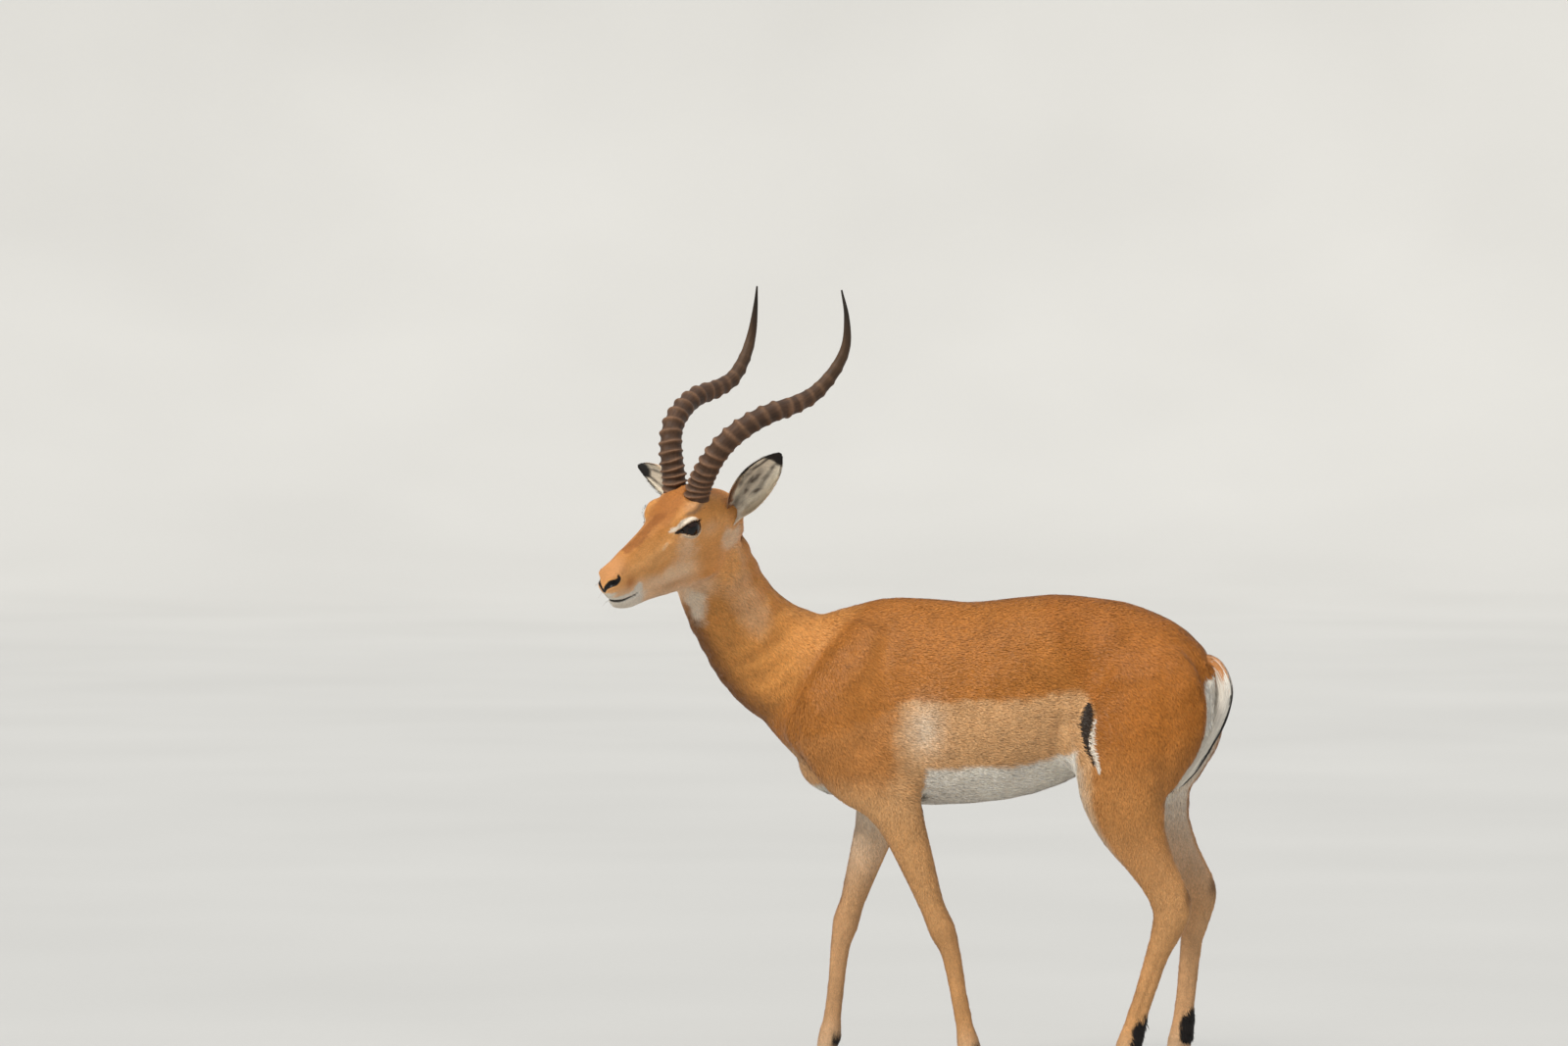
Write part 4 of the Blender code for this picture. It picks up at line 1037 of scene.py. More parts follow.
class Paint:
    """A material under construction: its node tree, and short ways to add to it."""

    def __init__(self, name):
        self.material = bpy.data.materials.new(name)
        self.material.use_nodes = True
        self.tree = self.material.node_tree
        self.shader = next(node for node in self.tree.nodes if node.type == "BSDF_PRINCIPLED")

    def node(self, kind, inputs=None, **settings):
        made = self.tree.nodes.new(kind)
        for key, value in settings.items():
            setattr(made, key, value)
        for key, value in (inputs or {}).items():
            self.feed(made.inputs[key], value)
        return made

    def feed(self, socket, value):
        """Links an output to a socket, or sets the socket's own value."""
        if isinstance(value, bpy.types.NodeSocket):
            self.tree.links.new(value, socket)
        else:
            socket.default_value = value

    def finish(self, **values):
        """Feeds the shader's sockets, named with _ for each space."""
        for key, value in values.items():
            self.feed(self.shader.inputs[key.replace("_", " ")], value)
        return self.material

    def attribute(self, name, output="Color"):
        return self.node("ShaderNodeAttribute", attribute_name=name).outputs[output]

    def stretched(self, scale, attribute=None):
        """Coordinates of the piece, or an attribute's, stretched to this scale along each axis."""
        if attribute:
            source = self.attribute(attribute, "Vector")
        else:
            source = self.node("ShaderNodeTexCoord").outputs["Object"]
        return self.node("ShaderNodeMapping", {"Vector": source, "Scale": scale}).outputs["Vector"]

    def noise(self, vector, scale, detail=3.0, roughness=0.55):
        return self.node("ShaderNodeTexNoise", {
            "Vector": vector, "Scale": scale, "Detail": detail, "Roughness": roughness,
        }).outputs["Fac"]

    def levels(self, value, low, high, to_low=0.0, to_high=1.0):
        return self.node("ShaderNodeMapRange", {
            "Value": value, "From Min": low, "From Max": high, "To Min": to_low, "To Max": to_high,
        }).outputs["Result"]

    def shade(self, colour, amount):
        """A colour multiplied by a grey amount."""
        made = self.node("ShaderNodeMix", {"Factor": 1.0, 6: colour, 7: amount},
                         data_type="RGBA", blend_type="MULTIPLY")
        return made.outputs[2]

    def bump(self, height, strength, distance, under=None):
        inputs = {"Height": height, "Strength": strength, "Distance": distance}
        if under is not None:
            inputs["Normal"] = under
        return self.node("ShaderNodeBump", inputs).outputs["Normal"]


def skin_paint():
    """Short close hair seen as a surface: the markings, broken by fine streaks and their relief."""
    paint = Paint("short flat hair")
    markings = paint.attribute("markings")
    along = paint.stretched((0.35, 1.0, 0.55))
    streaks = paint.noise(along, 620.0, 2.0, 0.6)
    clumps = paint.noise(paint.stretched((0.5, 1.0, 0.8)), 150.0, 3.0, 0.6)
    colour = paint.shade(markings, paint.levels(streaks, 0.25, 0.75, 0.8, 1.14))
    colour = paint.shade(colour, paint.levels(clumps, 0.25, 0.75, 0.9, 1.08))
    relief = paint.bump(streaks, 0.55, 0.0006)
    relief = paint.bump(clumps, 0.4, 0.0012, relief)
    # bare wet skin, as on the nose and the rims of the lids, is smoother
    roughness = paint.levels(paint.attribute("bare", "Fac"), 0.0, 1.0, 0.6, 0.34)
    return paint.finish(Base_Color=colour, Normal=relief, Roughness=roughness, Specular_IOR_Level=0.26,
                        Sheen_Weight=0.05, Sheen_Roughness=0.45)


def hair_paint(name, roughness=0.52):
    """Solid tufts: each has its own colour, darkened at the root with painted shade, and a soft lengthwise
    gleam.
    """
    paint = Paint(name)
    colour = paint.attribute("hair")
    fine = paint.noise(paint.stretched((1.0, 1.0, 1.0)), 900.0, 2.0, 0.5)
    colour = paint.shade(colour, paint.levels(fine, 0.3, 0.7, 0.9, 1.08))
    rough = paint.levels(fine, 0.3, 0.7, roughness - 0.05, roughness + 0.08)
    return paint.finish(Base_Color=colour, Roughness=rough, Normal=paint.bump(fine, 0.25, 0.0003),
                        Specular_IOR_Level=0.26, Sheen_Weight=0.05, Sheen_Roughness=0.4)


def horn_paint():
    """Ringed horn: dull brown, paler on the ridges as painted highlight and darker in the grooves as painted
    shade, with fine lengthwise fibres.
    """
    paint = Paint("ringed horn")
    colour = paint.attribute("markings")
    fibres = paint.noise(paint.stretched((1.0, 1.0, 0.05), "grain"), 420.0, 4.0, 0.65)
    pits = paint.noise(paint.stretched((1.0, 1.0, 0.5), "grain"), 90.0, 5.0, 0.6)
    colour = paint.shade(colour, paint.levels(fibres, 0.25, 0.75, 0.66, 1.25))
    colour = paint.shade(colour, paint.levels(pits, 0.3, 0.7, 0.8, 1.15))
    relief = paint.bump(fibres, 0.55, 0.0008)
    relief = paint.bump(pits, 0.35, 0.0014, relief)
    return paint.finish(Base_Color=colour, Normal=relief, Roughness=paint.levels(pits, 0.3, 0.7, 0.46, 0.66),
                        Specular_IOR_Level=0.24)


def hoof_paint():
    """Hard black hoof with faint growth lines, scuffed and dusty near the ground."""
    paint = Paint("black hoof")
    colour = paint.attribute("markings")
    lines = paint.noise(paint.stretched((0.15, 0.15, 1.0)), 620.0, 2.0, 0.5)
    fibres = paint.noise(paint.stretched((1.0, 1.0, 0.12)), 700.0, 3.0, 0.6)
    colour = paint.shade(colour, paint.levels(fibres, 0.3, 0.7, 0.72, 1.25))
    relief = paint.bump(lines, 0.5, 0.0006)
    relief = paint.bump(fibres, 0.3, 0.0004, relief)
    return paint.finish(Base_Color=colour, Normal=relief, Roughness=paint.levels(fibres, 0.3, 0.7, 0.3, 0.5),
                        Specular_IOR_Level=0.45)


def eye_paint():
    """A wet dark eye: its colours are on the ball, under a clear glossy film."""
    paint = Paint("wet dark eye")
    colour = paint.attribute("markings")
    fibres = paint.noise(paint.stretched((1.0, 1.0, 1.0)), 900.0, 3.0, 0.6)
    colour = paint.shade(colour, paint.levels(fibres, 0.3, 0.7, 0.75, 1.3))
    return paint.finish(Base_Color=colour, Normal=paint.bump(fibres, 0.03, 0.0001),
                        Roughness=paint.levels(fibres, 0.3, 0.7, 0.06, 0.1), Specular_IOR_Level=0.05,
                        Coat_Weight=0.8, Coat_IOR=1.38, Coat_Roughness=0.015)


# -------------------- the ears

EAR_LENGTH = 0.156
EAR_WIDTH = 0.06
EAR_THICKNESS = 0.003
EAR_NOISE = 51  # seed of the uneven edges of the ears' markings
EAR_STREAKS = (  # dark streaks of the hollow: place across, half width, start and end as shares of the length
    (-0.44, 0.13, 0.36, 0.92), (-0.06, 0.14, 0.2, 0.7), (0.3, 0.12, 0.32, 0.84))
EAR_ROOT_DEPTH = 0.016  # how far the ear's root lies inside the head
EAR_REACH = math.radians(80.0)  # how far the leaf bends round to either side of its middle
EAR = (  # share of the length, width and depth of the cup as shares of the ear's width
    (0.0, 0.34, 0.4), (0.1, 0.5, 0.42), (0.25, 0.92, 0.36), (0.42, 1.1, 0.28), (0.58, 1.08, 0.22),
    (0.74, 0.88, 0.16), (0.88, 0.54, 0.09), (0.96, 0.27, 0.04), (1.0, 0.1, 0.01),
)
EARS = {  # root, direction of the tip and of the hollow, in the head's axes
    "left": ((0.028, 0.056, 0.04), (-0.32, 0.53, 0.785), (0.62, 0.72, -0.1)),
    "right": ((0.028, -0.056, 0.028), (-0.17, -0.95, 0.26), (0.93, -0.3, -0.05)),
}


def ear_frame(side):
    """An ear's root, and its directions to the tip, out of the hollow and across."""
    root, tip, hollow = EARS[side]
    along = unit(np.array(tip) @ AXES)
    hollow = np.array(hollow) @ AXES
    hollow = unit(hollow - along * (hollow @ along))
    return from_head(root), along, hollow, np.cross(along, hollow)


def ear_places(side, share, swing, inside):
    """Points on an ear for shares of its length and shares of its arc, -1 to 1; and their normals."""
    root, along, hollow, across = ear_frame(side)
    share, swing = np.broadcast_arrays(np.asarray(share, float), np.asarray(swing, float))
    rows = through(EAR, 200)
    width = np.interp(share, rows[:, 0], rows[:, 1])[..., None]
    cup = np.interp(share, rows[:, 0], rows[:, 2])[..., None]
    turn = (swing * EAR_REACH)[..., None]
    share = share[..., None]
    length = -EAR_ROOT_DEPTH + share * (EAR_LENGTH + EAR_ROOT_DEPTH)
    thin = EAR_THICKNESS / 2 * np.minimum(1.0, 0.35 + 1.6 * width)
    thin = thin * (1 - 0.45 * np.abs(turn / EAR_REACH) ** 6)
    bow = 0.01 * np.sin(math.pi * share)
    out = unit(across * np.sin(turn) - hollow * np.cos(turn) * 0.8)
    middle = (root + along * length + across * (EAR_WIDTH * width / 2 * np.sin(turn))
              - hollow * (EAR_WIDTH * cup * (np.cos(turn) - 0.2) + bow))
    sign = np.where(inside, -1.0, 1.0)[..., None]
    return middle + out * thin * sign, out * sign


def ear_colours(points, share, swing, inside):
    """Pale hair with broken dark streaks in the hollow and painted grey-brown shade down its middle, a dark
    front edge, a fawn back, a black tip.
    """
    rough = 0.05 * noise(points, 0.012, EAR_NOISE)
    back = mix(np.tile(tone(190, 132, 80), (len(points), 1)), tone(206, 160, 118), ramp(share, 0.35, 0.75))
    front = np.tile(tone(242, 230, 208), (len(points), 1))
    # painted shade: a grey-brown band down the middle of the hollow
    front = mix(front, tone(176, 146, 118), 0.3 * bump(swing, -0.05, 0.55) * ramp(share, 0.2, 0.36))
    streak = np.zeros(len(points))
    for place, width, start, end in EAR_STREAKS:
        line = bump(swing + 1.3 * rough, place, width) * ramp(share, start - 0.04, start + 0.08)
        streak = np.maximum(streak, line * ramp(share, end + 0.06, end - 0.08))
    broken = 0.6 + 0.4 * ramp(noise(points, 0.009, EAR_NOISE + 1), -0.35, 0.25)
    front = mix(front, tone(48, 32, 25), 0.95 * streak * broken)
    front = mix(front, tone(60, 40, 30), 0.75 * ramp(share, 0.3, 0.16) * bump(swing, -0.1, 0.35))
    colours = np.where(inside[:, None], front, back)
    edge = ramp(np.abs(swing), 0.8, 0.97)
    colours = mix(colours, tone(232, 214, 186), 0.7 * edge * ramp(share, 0.9, 0.7))
    folded = ramp(swing, -0.66, -0.9) * ramp(share, 0.5, 0.3)
    colours = mix(colours, tone(190, 124, 66), 0.75 * folded)
    front_edge = ramp(swing, -0.8, -0.95) * ramp(share + rough, 0.42, 0.58)
    rear_edge = ramp(swing, 0.84, 0.96) * ramp(share + rough, 0.62, 0.8)
    tip = ramp(share + rough - 0.05 * np.abs(swing), 0.8, 0.86)
    return mix(colours, BLACK, np.maximum(tip, 0.92 * np.maximum(front_edge, rear_edge)))


def ear_shell(side, rows=46, columns=25):
    """One ear as a closed leaf of skin, with its colours."""
    share = np.linspace(0, 1, rows)[:, None]
    swing = np.linspace(-1, 1, columns)[None, :]
    loops, marks = [], []
    for inside in (False, True):
        way = swing[:, ::-1] if inside else swing
        points, normals = ear_places(side, share, way, np.full((rows, columns), inside))
        if inside:
            ribs = np.cos(way * 15.0) * (1 - np.abs(way) ** 4)
            points = points + normals * (0.0006 * ribs * ramp(share, 0.95, 0.7))[..., None]
        loops.append(points)
        full_share, full_way = (np.broadcast_to(one, (rows, columns)).ravel() for one in (share, way))
        marks.append(ear_colours(points.reshape(-1, 3), full_share, full_way,
                                 np.full(rows * columns, inside)).reshape(rows, columns, 3))
    loop = np.concatenate(loops, 1)
    if side == "left":
        loop, marks = loop[:, ::-1], [mark[:, ::-1] for mark in marks[::-1]]
    mesh = grid_mesh("ear_shell_" + side, loop, (True, True))
    return mesh, np.concatenate(marks, 1).reshape(-1, 3)


# -------------------- tufts


PATCH = 0.003  # size of a tuft's place on the unwrapped coat


def solid_tufts(name, paths, halves, normals, colours, places, material):
    """One mesh of many flat tapering tufts.

    paths: (tufts, steps + 1, 3) middle line of each tuft, root first. halves: (tufts, steps, 3)
    half its width, sideways. normals and colours: (tufts, steps + 1, 3). places: (tufts, 2).
    """
    tufts, steps = len(paths), paths.shape[1] - 1
    each = 2 * steps + 1
    points = np.empty((tufts, each, 3))
    points[:, 0:-1:2] = paths[:, :-1] - halves
    points[:, 1::2] = paths[:, :-1] + halves
    points[:, -1] = paths[:, -1]
    row = np.minimum(np.arange(each) // 2, steps)
    corners = []
    for j in range(steps - 1):
        corners += [(2 * j, 2 * j + 2, 2 * j + 3), (2 * j, 2 * j + 3, 2 * j + 1)]
    corners.append((2 * steps - 2, 2 * steps, 2 * steps - 1))
    corners = np.array(corners)
    faces = (corners[None] + (np.arange(tufts) * each)[:, None, None]).reshape(-1, 3)
    mesh = bpy.data.meshes.new(name)
    mesh.vertices.add(tufts * each)
    mesh.vertices.foreach_set("co", points.astype(np.float32).ravel())
    mesh.loops.add(faces.size)
    mesh.loops.foreach_set("vertex_index", faces.astype(np.int32).ravel())
    mesh.polygons.add(len(faces))
    mesh.polygons.foreach_set("loop_start", np.arange(0, faces.size, 3, dtype=np.int32))
    mesh.update(calc_edges=True)
    shift = np.empty((each, 2))
    shift[:, 0] = np.where(np.arange(each) % 2 == 0, -1, 1)
    shift[-1, 0] = 0
    shift[:, 1] = 2 * row / steps - 1
    unwrapped = places[:, None] + shift[None] * PATCH / 2
    layer = mesh.uv_layers.new(name="OFBake")
    loops = unwrapped.reshape(-1, 2)[faces.ravel()]
    layer.data.foreach_set("uv", loops.astype(np.float32).ravel())
    paint_points(mesh, "hair", np.clip(colours[:, row], 0.0015, 0.95).reshape(-1, 3))
    made = new_piece(name, mesh, material)
    shown = unit(normals[:, row].reshape(-1, 3))
    mesh.normals_split_custom_set_from_vertices(shown.astype(np.float32).tolist())
    return made


def unwrap_round(points, middle, axis, first, share):
    """Places on this share of an unwrap's width: the angle round an axis, and the distance along it."""
    axis = unit(axis)
    first = unit(first - axis * (first @ axis))
    away = points - middle
    angle = np.arctan2(away @ np.cross(axis, first), away @ first) / (2 * math.pi) + 0.5
    along = away @ axis
    along = (along - along.min()) / max(np.ptp(along), 1e-6)
    low, high = share[0] + PATCH, share[1] - PATCH
    return np.stack((low + angle * (high - low), PATCH + along * (1 - 2 * PATCH)), 1)


def places_of(points, owners):
    """Each tuft's place on the unwrapped skin: trunk, neck and head round their own middle lines,
    and each leg in its own quarter."""
    places = np.full((len(points), 2), 0.5)
    ahead, high = np.array((-1.0, 0.0, 0.0)), np.array((0.0, 0.0, 1.0))
    groups = [  # nodes, a point on their middle line, its direction, the direction of the seam's far side
        (["head"], middle_of("head"), AXES[0], -AXES[2], (0.0, 1.0)),
        (["neck"], middle_of("neck"), NECK_WAY, np.array((1.0, 0.0, 0.5)), (0.0, 1.0)),
        (["trunk"], middle_of("trunk"), -ahead, -high, (0.0, 1.0)),
        (["tail"], middle_of("tail"), high, ahead, (0.0, 1.0)),
    ]
    for quarter, leg in enumerate(LEGS):
        groups.append(([leg + "_upper", leg + "_lower"], middle_of(leg + "_lower"), high, ahead,
                       (quarter / 4, quarter / 4 + 0.25)))
    for nodes, middle, axis, first, share in groups:
        mine = among(owners, nodes)
        if mine.any():
            places[mine] = unwrap_round(points[mine], middle, axis, first, share)
    return places


HAIR_LENGTH = {"body": 0.0105, "leg": 0.0075, "shank": 0.005, "foot": 0.0036, "fringe": 0.015,
               "gland": 0.019, "heel": 0.01, "nape": 0.006, "face": 0.0042, "muzzle": 0.0024, "lid": 0.002}


def tuft_sizes(points, normals, owners, back):
    """Length, half width and lift of the tip of the hair at each point, in metres."""
    head = to_head(points)
    x, out, z = folded_ram(points).T
    length = np.full(len(points), HAIR_LENGTH["body"])
    length += ramp(normals[:, 2], -0.2, -0.8) * ramp(z, 0.5, 0.55) * 0.003
    length += ramp(x, 0.22, 0.3) * ramp(z, 0.6, 0.66) * 0.001
    length += ramp(z, 0.56, 0.44) * (HAIR_LENGTH["leg"] - length)
    length += ramp(z, 0.38, 0.3) * (HAIR_LENGTH["shank"] - length)
    length += ramp(z, 0.09, 0.05) * (HAIR_LENGTH["foot"] - length)
    # long white hair on the edges of the buttocks and on the flank fold
    rear = ramp(normals[:, 0], 0.15, 0.5) * ramp(x, 0.28, 0.32) * ramp(z, 0.77, 0.74) * ramp(z, 0.5, 0.56)
    length += rear * (HAIR_LENGTH["fringe"] - length) * ramp(out, 0.1, 0.07)
    fold = bump(x, 0.18, 0.018) * bump(z, 0.64, 0.045) * ramp(out, 0.06, 0.1)
    length += fold * (HAIR_LENGTH["fringe"] - length)
    # brushes of black hair over the scent glands
    gland = ramp(back, 0.002, 0.008) * ramp(z, 0.108, 0.125) * ramp(z, 0.175, 0.155) * (x > 0.08)
    length += gland * (HAIR_LENGTH["gland"] - length)
    heel = ramp(back, 0.008, 0.014) * bump(z, 0.1, 0.012)
    length += heel * (HAIR_LENGTH["heel"] - length)
    on_head = ramp(head[:, 0], -0.02, 0.05) * among(owners, ["head"])
    nape, face, muzzle, lid = (HAIR_LENGTH[place] for place in ("nape", "face", "muzzle", "lid"))
    face = nape + (face - nape) * ramp(head[:, 0], 0.02, 0.12)
    face = face + (muzzle - face) * ramp(head[:, 0], 0.17, 0.27)
    face = face + 0.0022 * ramp(head[:, 2], -0.02, -0.06) * ramp(head[:, 0], 0.22, 0.12)
    for side in (1, -1):
        distance = np.linalg.norm(head - EYE_AT * (1, side, 1), axis=1)
        face = face + (lid - face) * ramp(distance, 0.036, 0.024)
    length += on_head * (face - length)
    half = 0.085 * length * (1 - 0.35 * np.clip(gland + rear + fold, 0, 1))
    lift = (0.21 - 0.07 * on_head) * length
    lift = np.minimum(lift, 0.003 + 0.004 * gland)
    return length, half, lift


def bare_skin(points):
    """Where no hair grows: nose, lips' edges, the rims of the lids and the eyes."""
    head = to_head(points)
    both = folded_head(points)
    on_head = (head[:, 0] > 0.05) & (to_ram(points)[:, 2] > 0.82)
    bare = nose_pattern(both, 1.15)
    bare = np.maximum(bare, ramp(from_mouth(both), 0.0034, 0.002) * (head[:, 0] > 0.24))
    for side in (1, -1):
        distance, ahead, above, outward = eye_directions(points, side)
        near = (distance < 0.05) & (outward > -0.005)
        bare = np.maximum(bare, ramp(np.where(near, lid_opening(ahead, above), 99.0), 1.34, 1.18))
    return bare * on_head


def grow_coat(name, weight, count, seed, material):
    """Tufts of flat hair on one region of the skin, denser where weight is greater."""
    count = few(count)
    rng = np.random.default_rng(seed)
    triangles = Skin.triangles
    corners = Skin.points[triangles]
    area = np.linalg.norm(np.cross(corners[:, 1] - corners[:, 0], corners[:, 2] - corners[:, 0]), axis=1) / 2
    chance = np.cumsum(area * (weight * Skin.growth)[triangles].mean(1))
    spots = (np.arange(count) + rng.random(count)) / count * chance[-1]
    picks = np.minimum(np.searchsorted(chance, spots), len(chance) - 1)
    first, second = rng.random((2, count))
    over = first + second > 1
    first, second = np.where(over, 1 - first, first), np.where(over, 1 - second, second)
    shares = np.stack((1 - first - second, first, second), 1)[..., None]
    at = triangles[picks]
    points = (Skin.points[at] * shares).sum(1)
    normals = unit((Skin.normals[at] * shares).sum(1))
    lie = (Skin.lie[at] * shares).sum(1)
    lie = unit(lie - normals * (lie * normals).sum(1)[:, None])
    owners = Skin.owners[at[:, 0]]
    back = behind_shank(points)
    length, half, lift = tuft_sizes(points, normals, owners, back)
    settings = bpy.context.scene.impala_coat
    length = length * settings.length * rng.uniform(0.72, 1.18, count)
    half = half * rng.uniform(0.8, 1.2, count)
    lift = lift * rng.uniform(0.65, 1.1, count)
    sideways = np.cross(normals, lie)
    turn = np.radians(settings.disorder) * rng.standard_normal(count)[:, None]
    turn = turn + 0.2 * noise(points, 0.01, seed)[:, None]
    lie = lie * np.cos(turn) + sideways * np.sin(turn)
    sideways = np.cross(normals, lie)
    curl = (0.1 * length * rng.standard_normal(count))[:, None]
    stretch = length[:, None]
    paths = np.stack((
        points - normals * 0.0005,
        points + lie * stretch * 0.48 + normals * (lift * 0.72)[:, None] + sideways * curl * 0.3,
        points + lie * stretch + normals * lift[:, None] + sideways * curl,
    ), 1)
    wide = sideways * half[:, None]
    halves = np.stack((wide * 0.7, wide), 1)
    tilt = sideways * rng.uniform(-0.32, 0.32, count)[:, None]
    shown = np.stack((normals - lie * 0.1, normals, normals + lie * 0.12), 1) + tilt[:, None]
    base = coat_colours(points, normals, owners, back)
    variety = rng.standard_normal(count)[:, None]
    base = base * (1 + 0.11 * np.clip(variety, -2, 2))
    warm = rng.uniform(-0.05, 0.05, count)[:, None] * np.array((1.0, 0.2, -1.0))
    base = base * (1 + warm)
    # painted shade: each tuft is darker at its root and a little lighter at its tip
    root_shade_share = np.clip(length / 0.009, 0.4, 1.0)[:, None, None]
    colours = base[:, None] * (1 + root_shade_share * np.array((-0.28, -0.02, 0.1))[None, :, None])
    return solid_tufts(name, paths, halves, shown, colours, places_of(points, owners), material)


# -------------------- tail, ear hair, lashes, whiskers


def strands(steps, place):
    """Lines of points from root to tip; place gives all strands' points at one share of their length."""
    return np.stack([place(j / steps) for j in range(steps + 1)], 1)


def joined(parts):
    """Tuples of arrays, each kind of array put end to end."""
    return (np.concatenate(kind) for kind in zip(*parts))


def long_tufts(name, lines, half, normals, colours, places, material, root_shade=0.72):
    """Long tapering locks through lines of points, colours given once for each lock."""
    steps = lines.shape[1] - 1
    along = np.gradient(lines, axis=1)
    sideways = unit(np.cross(normals[:, None], along))
    taper = 1 - 0.55 * (np.arange(steps) / steps) ** 2
    taper[0] *= 0.75
    halves = sideways[:, :-1] * (half[:, None] * taper)[..., None]
    share = np.linspace(0, 1, steps + 1)
    shades = root_shade + (1.08 - root_shade) * share ** 0.7
    shown = np.repeat(normals[:, None], steps + 1, 1)
    painted = colours[:, None] * shades[None, :, None]
    return solid_tufts(name, lines, halves, shown, painted, places, material)


TAIL_TIP = (0.319, 0.0, 0.562, 0.003)
TAIL_DEPTH = ((0, 0.016), (0.3, 0.0155), (0.75, 0.015), (0.9, 0.009), (1, 0.002))  # half its depth along it


def build_tail(material):
    """The tail's hair: locks that leave the dock and sweep down to a pointed tip."""
    count = few(9000)
    rng = np.random.default_rng(301)
    line = through(TAIL_LINE + (TAIL_TIP,), 200)
    along = np.linspace(0, 1, 200)
    depth = level_at(along, TAIL_DEPTH)
    start = rng.random(count) ** 0.85 * 0.86
    reach = 0.13 + 0.1 * rng.random(count)
    reach = np.minimum(reach, 1.0 - start)
    angle = rng.random(count) * 2 * math.pi
    fill = 0.72 + 0.28 * rng.random(count) ** 0.5

    def place(t):
        share = start + reach * t
        spot = np.clip(share, 0, 1) * 199
        low = np.minimum(spot.astype(int), 198)
        part = (spot - low)[:, None]
        middle = line[low] * (1 - part) + line[low + 1] * part
        across = np.array((0.0, 1.0, 0.0))
        up = np.cross(unit((line[low + 1] - line[low])[:, :3]), across)
        rise = ramp(t, 0, 0.45)
        dock = 0.0115 - 0.0045 * np.clip(share, 0, 1)
        wide = dock + (middle[:, 3] * fill - dock) * rise
        deep = dock + (np.interp(share, along, depth) * fill - dock) * rise
        return middle[:, :3] + across * (wide * np.cos(angle))[:, None] + up * (deep * np.sin(angle))[:, None]

    lines = strands(5, place) + MIDDLE
    out = unit(lines[:, 2] - MIDDLE - line[np.clip(((start + reach * 0.4) * 199).astype(int), 0, 199), :3])
    half = 0.00085 + 0.0005 * rng.random(count)
    rear = np.sin(angle)
    owners = np.full(count, TAIL)
    side = np.abs(np.cos(angle)) + 0.1 * rng.standard_normal(count)
    tuft = np.tile(WHITE, (count, 1))
    tuft = mix(tuft, BLACK, ramp(side, 0.52, 0.4) * (rear > 0) * ramp(start, 0.1, 0.18))
    tuft = mix(tuft, tone(196, 132, 76), ramp(start + 0.03 * rng.standard_normal(count), 0.13, 0.04)
               * ramp(rear, -0.6, 0.1))
    tuft = tuft * (1 + 0.08 * rng.standard_normal(count))[:, None]
    return long_tufts("tail_hair", lines, half, out, tuft, places_of(lines[:, 0], owners), material)


EAR_HAIR = (  # count, whether inside, ranges along and across, length, half width, lift
    (5200, False, (0.02, 0.97), (-1.0, 1.0), 0.005, 0.00042, 0.16),
    (2600, True, (0.16, 0.93), (-0.98, 0.98), 0.008, 0.00036, 0.16),
    (700, True, (0.12, 0.8), (0.8, 1.0), 0.015, 0.00034, 0.3),
    (700, True, (0.12, 0.8), (-1.0, -0.8), 0.015, 0.00034, 0.3),
)
EDGE_HAIR = 2  # the kinds from here on grow on the edges


def build_ear_hair(material):
    """Short hair on the backs of the ears, and long pale hair in their hollows and on their edges."""
    rng = np.random.default_rng(401)
    parts = []
    for index, side in enumerate(("left", "right")):
        _, along, hollow, across = ear_frame(side)
        for kind, (count, inside, reach, spread_over, length, half, lift) in enumerate(EAR_HAIR):
            count = few(count)
            share = rng.uniform(*reach, count)
            swing = rng.uniform(*spread_over, count)
            flag = np.full(count, inside)
            points, normals = ear_places(side, share, swing, flag)
            long = length * rng.uniform(0.7, 1.25, count) * ramp(share, 1.02, 0.8).clip(0.45, 1)
            outward = across * np.sign(swing)[:, None]
            way = along + outward * (0.25 if not inside else 0.1)
            if kind >= EDGE_HAIR:
                way = along * 0.9 - outward * 0.55 + hollow * 0.15
            way = unit(way + 0.16 * rng.standard_normal((count, 3)))
            way = unit(way - normals * (way * normals).sum(1)[:, None])
            lines = strands(3, lambda t: points + way * (long * t)[:, None]
                            + normals * (long * lift * t - 0.0004)[:, None])
            colours = ear_colours(points, share, swing, flag)
            if kind >= EDGE_HAIR:
                pale = ramp(share, 0.86, 0.7) * ramp(swing, -0.95, -0.6)
                colours = mix(colours, tone(238, 224, 200), 0.6 * pale)
            colours = colours * (1 + 0.1 * rng.standard_normal(count))[:, None]
            places = np.stack((0.004 + (index * 2 + int(inside) + 0.5 + 0.47 * swing) / 4 * 0.992,
                               0.004 + 0.992 * share), 1)
            parts.append((lines, np.full(count, half), normals, colours, places))
    lines, half, normals, colours, places = joined(parts)
    return long_tufts("coat_ears", lines, half, normals, colours, places.clip(0.002, 0.998), material, 0.8)


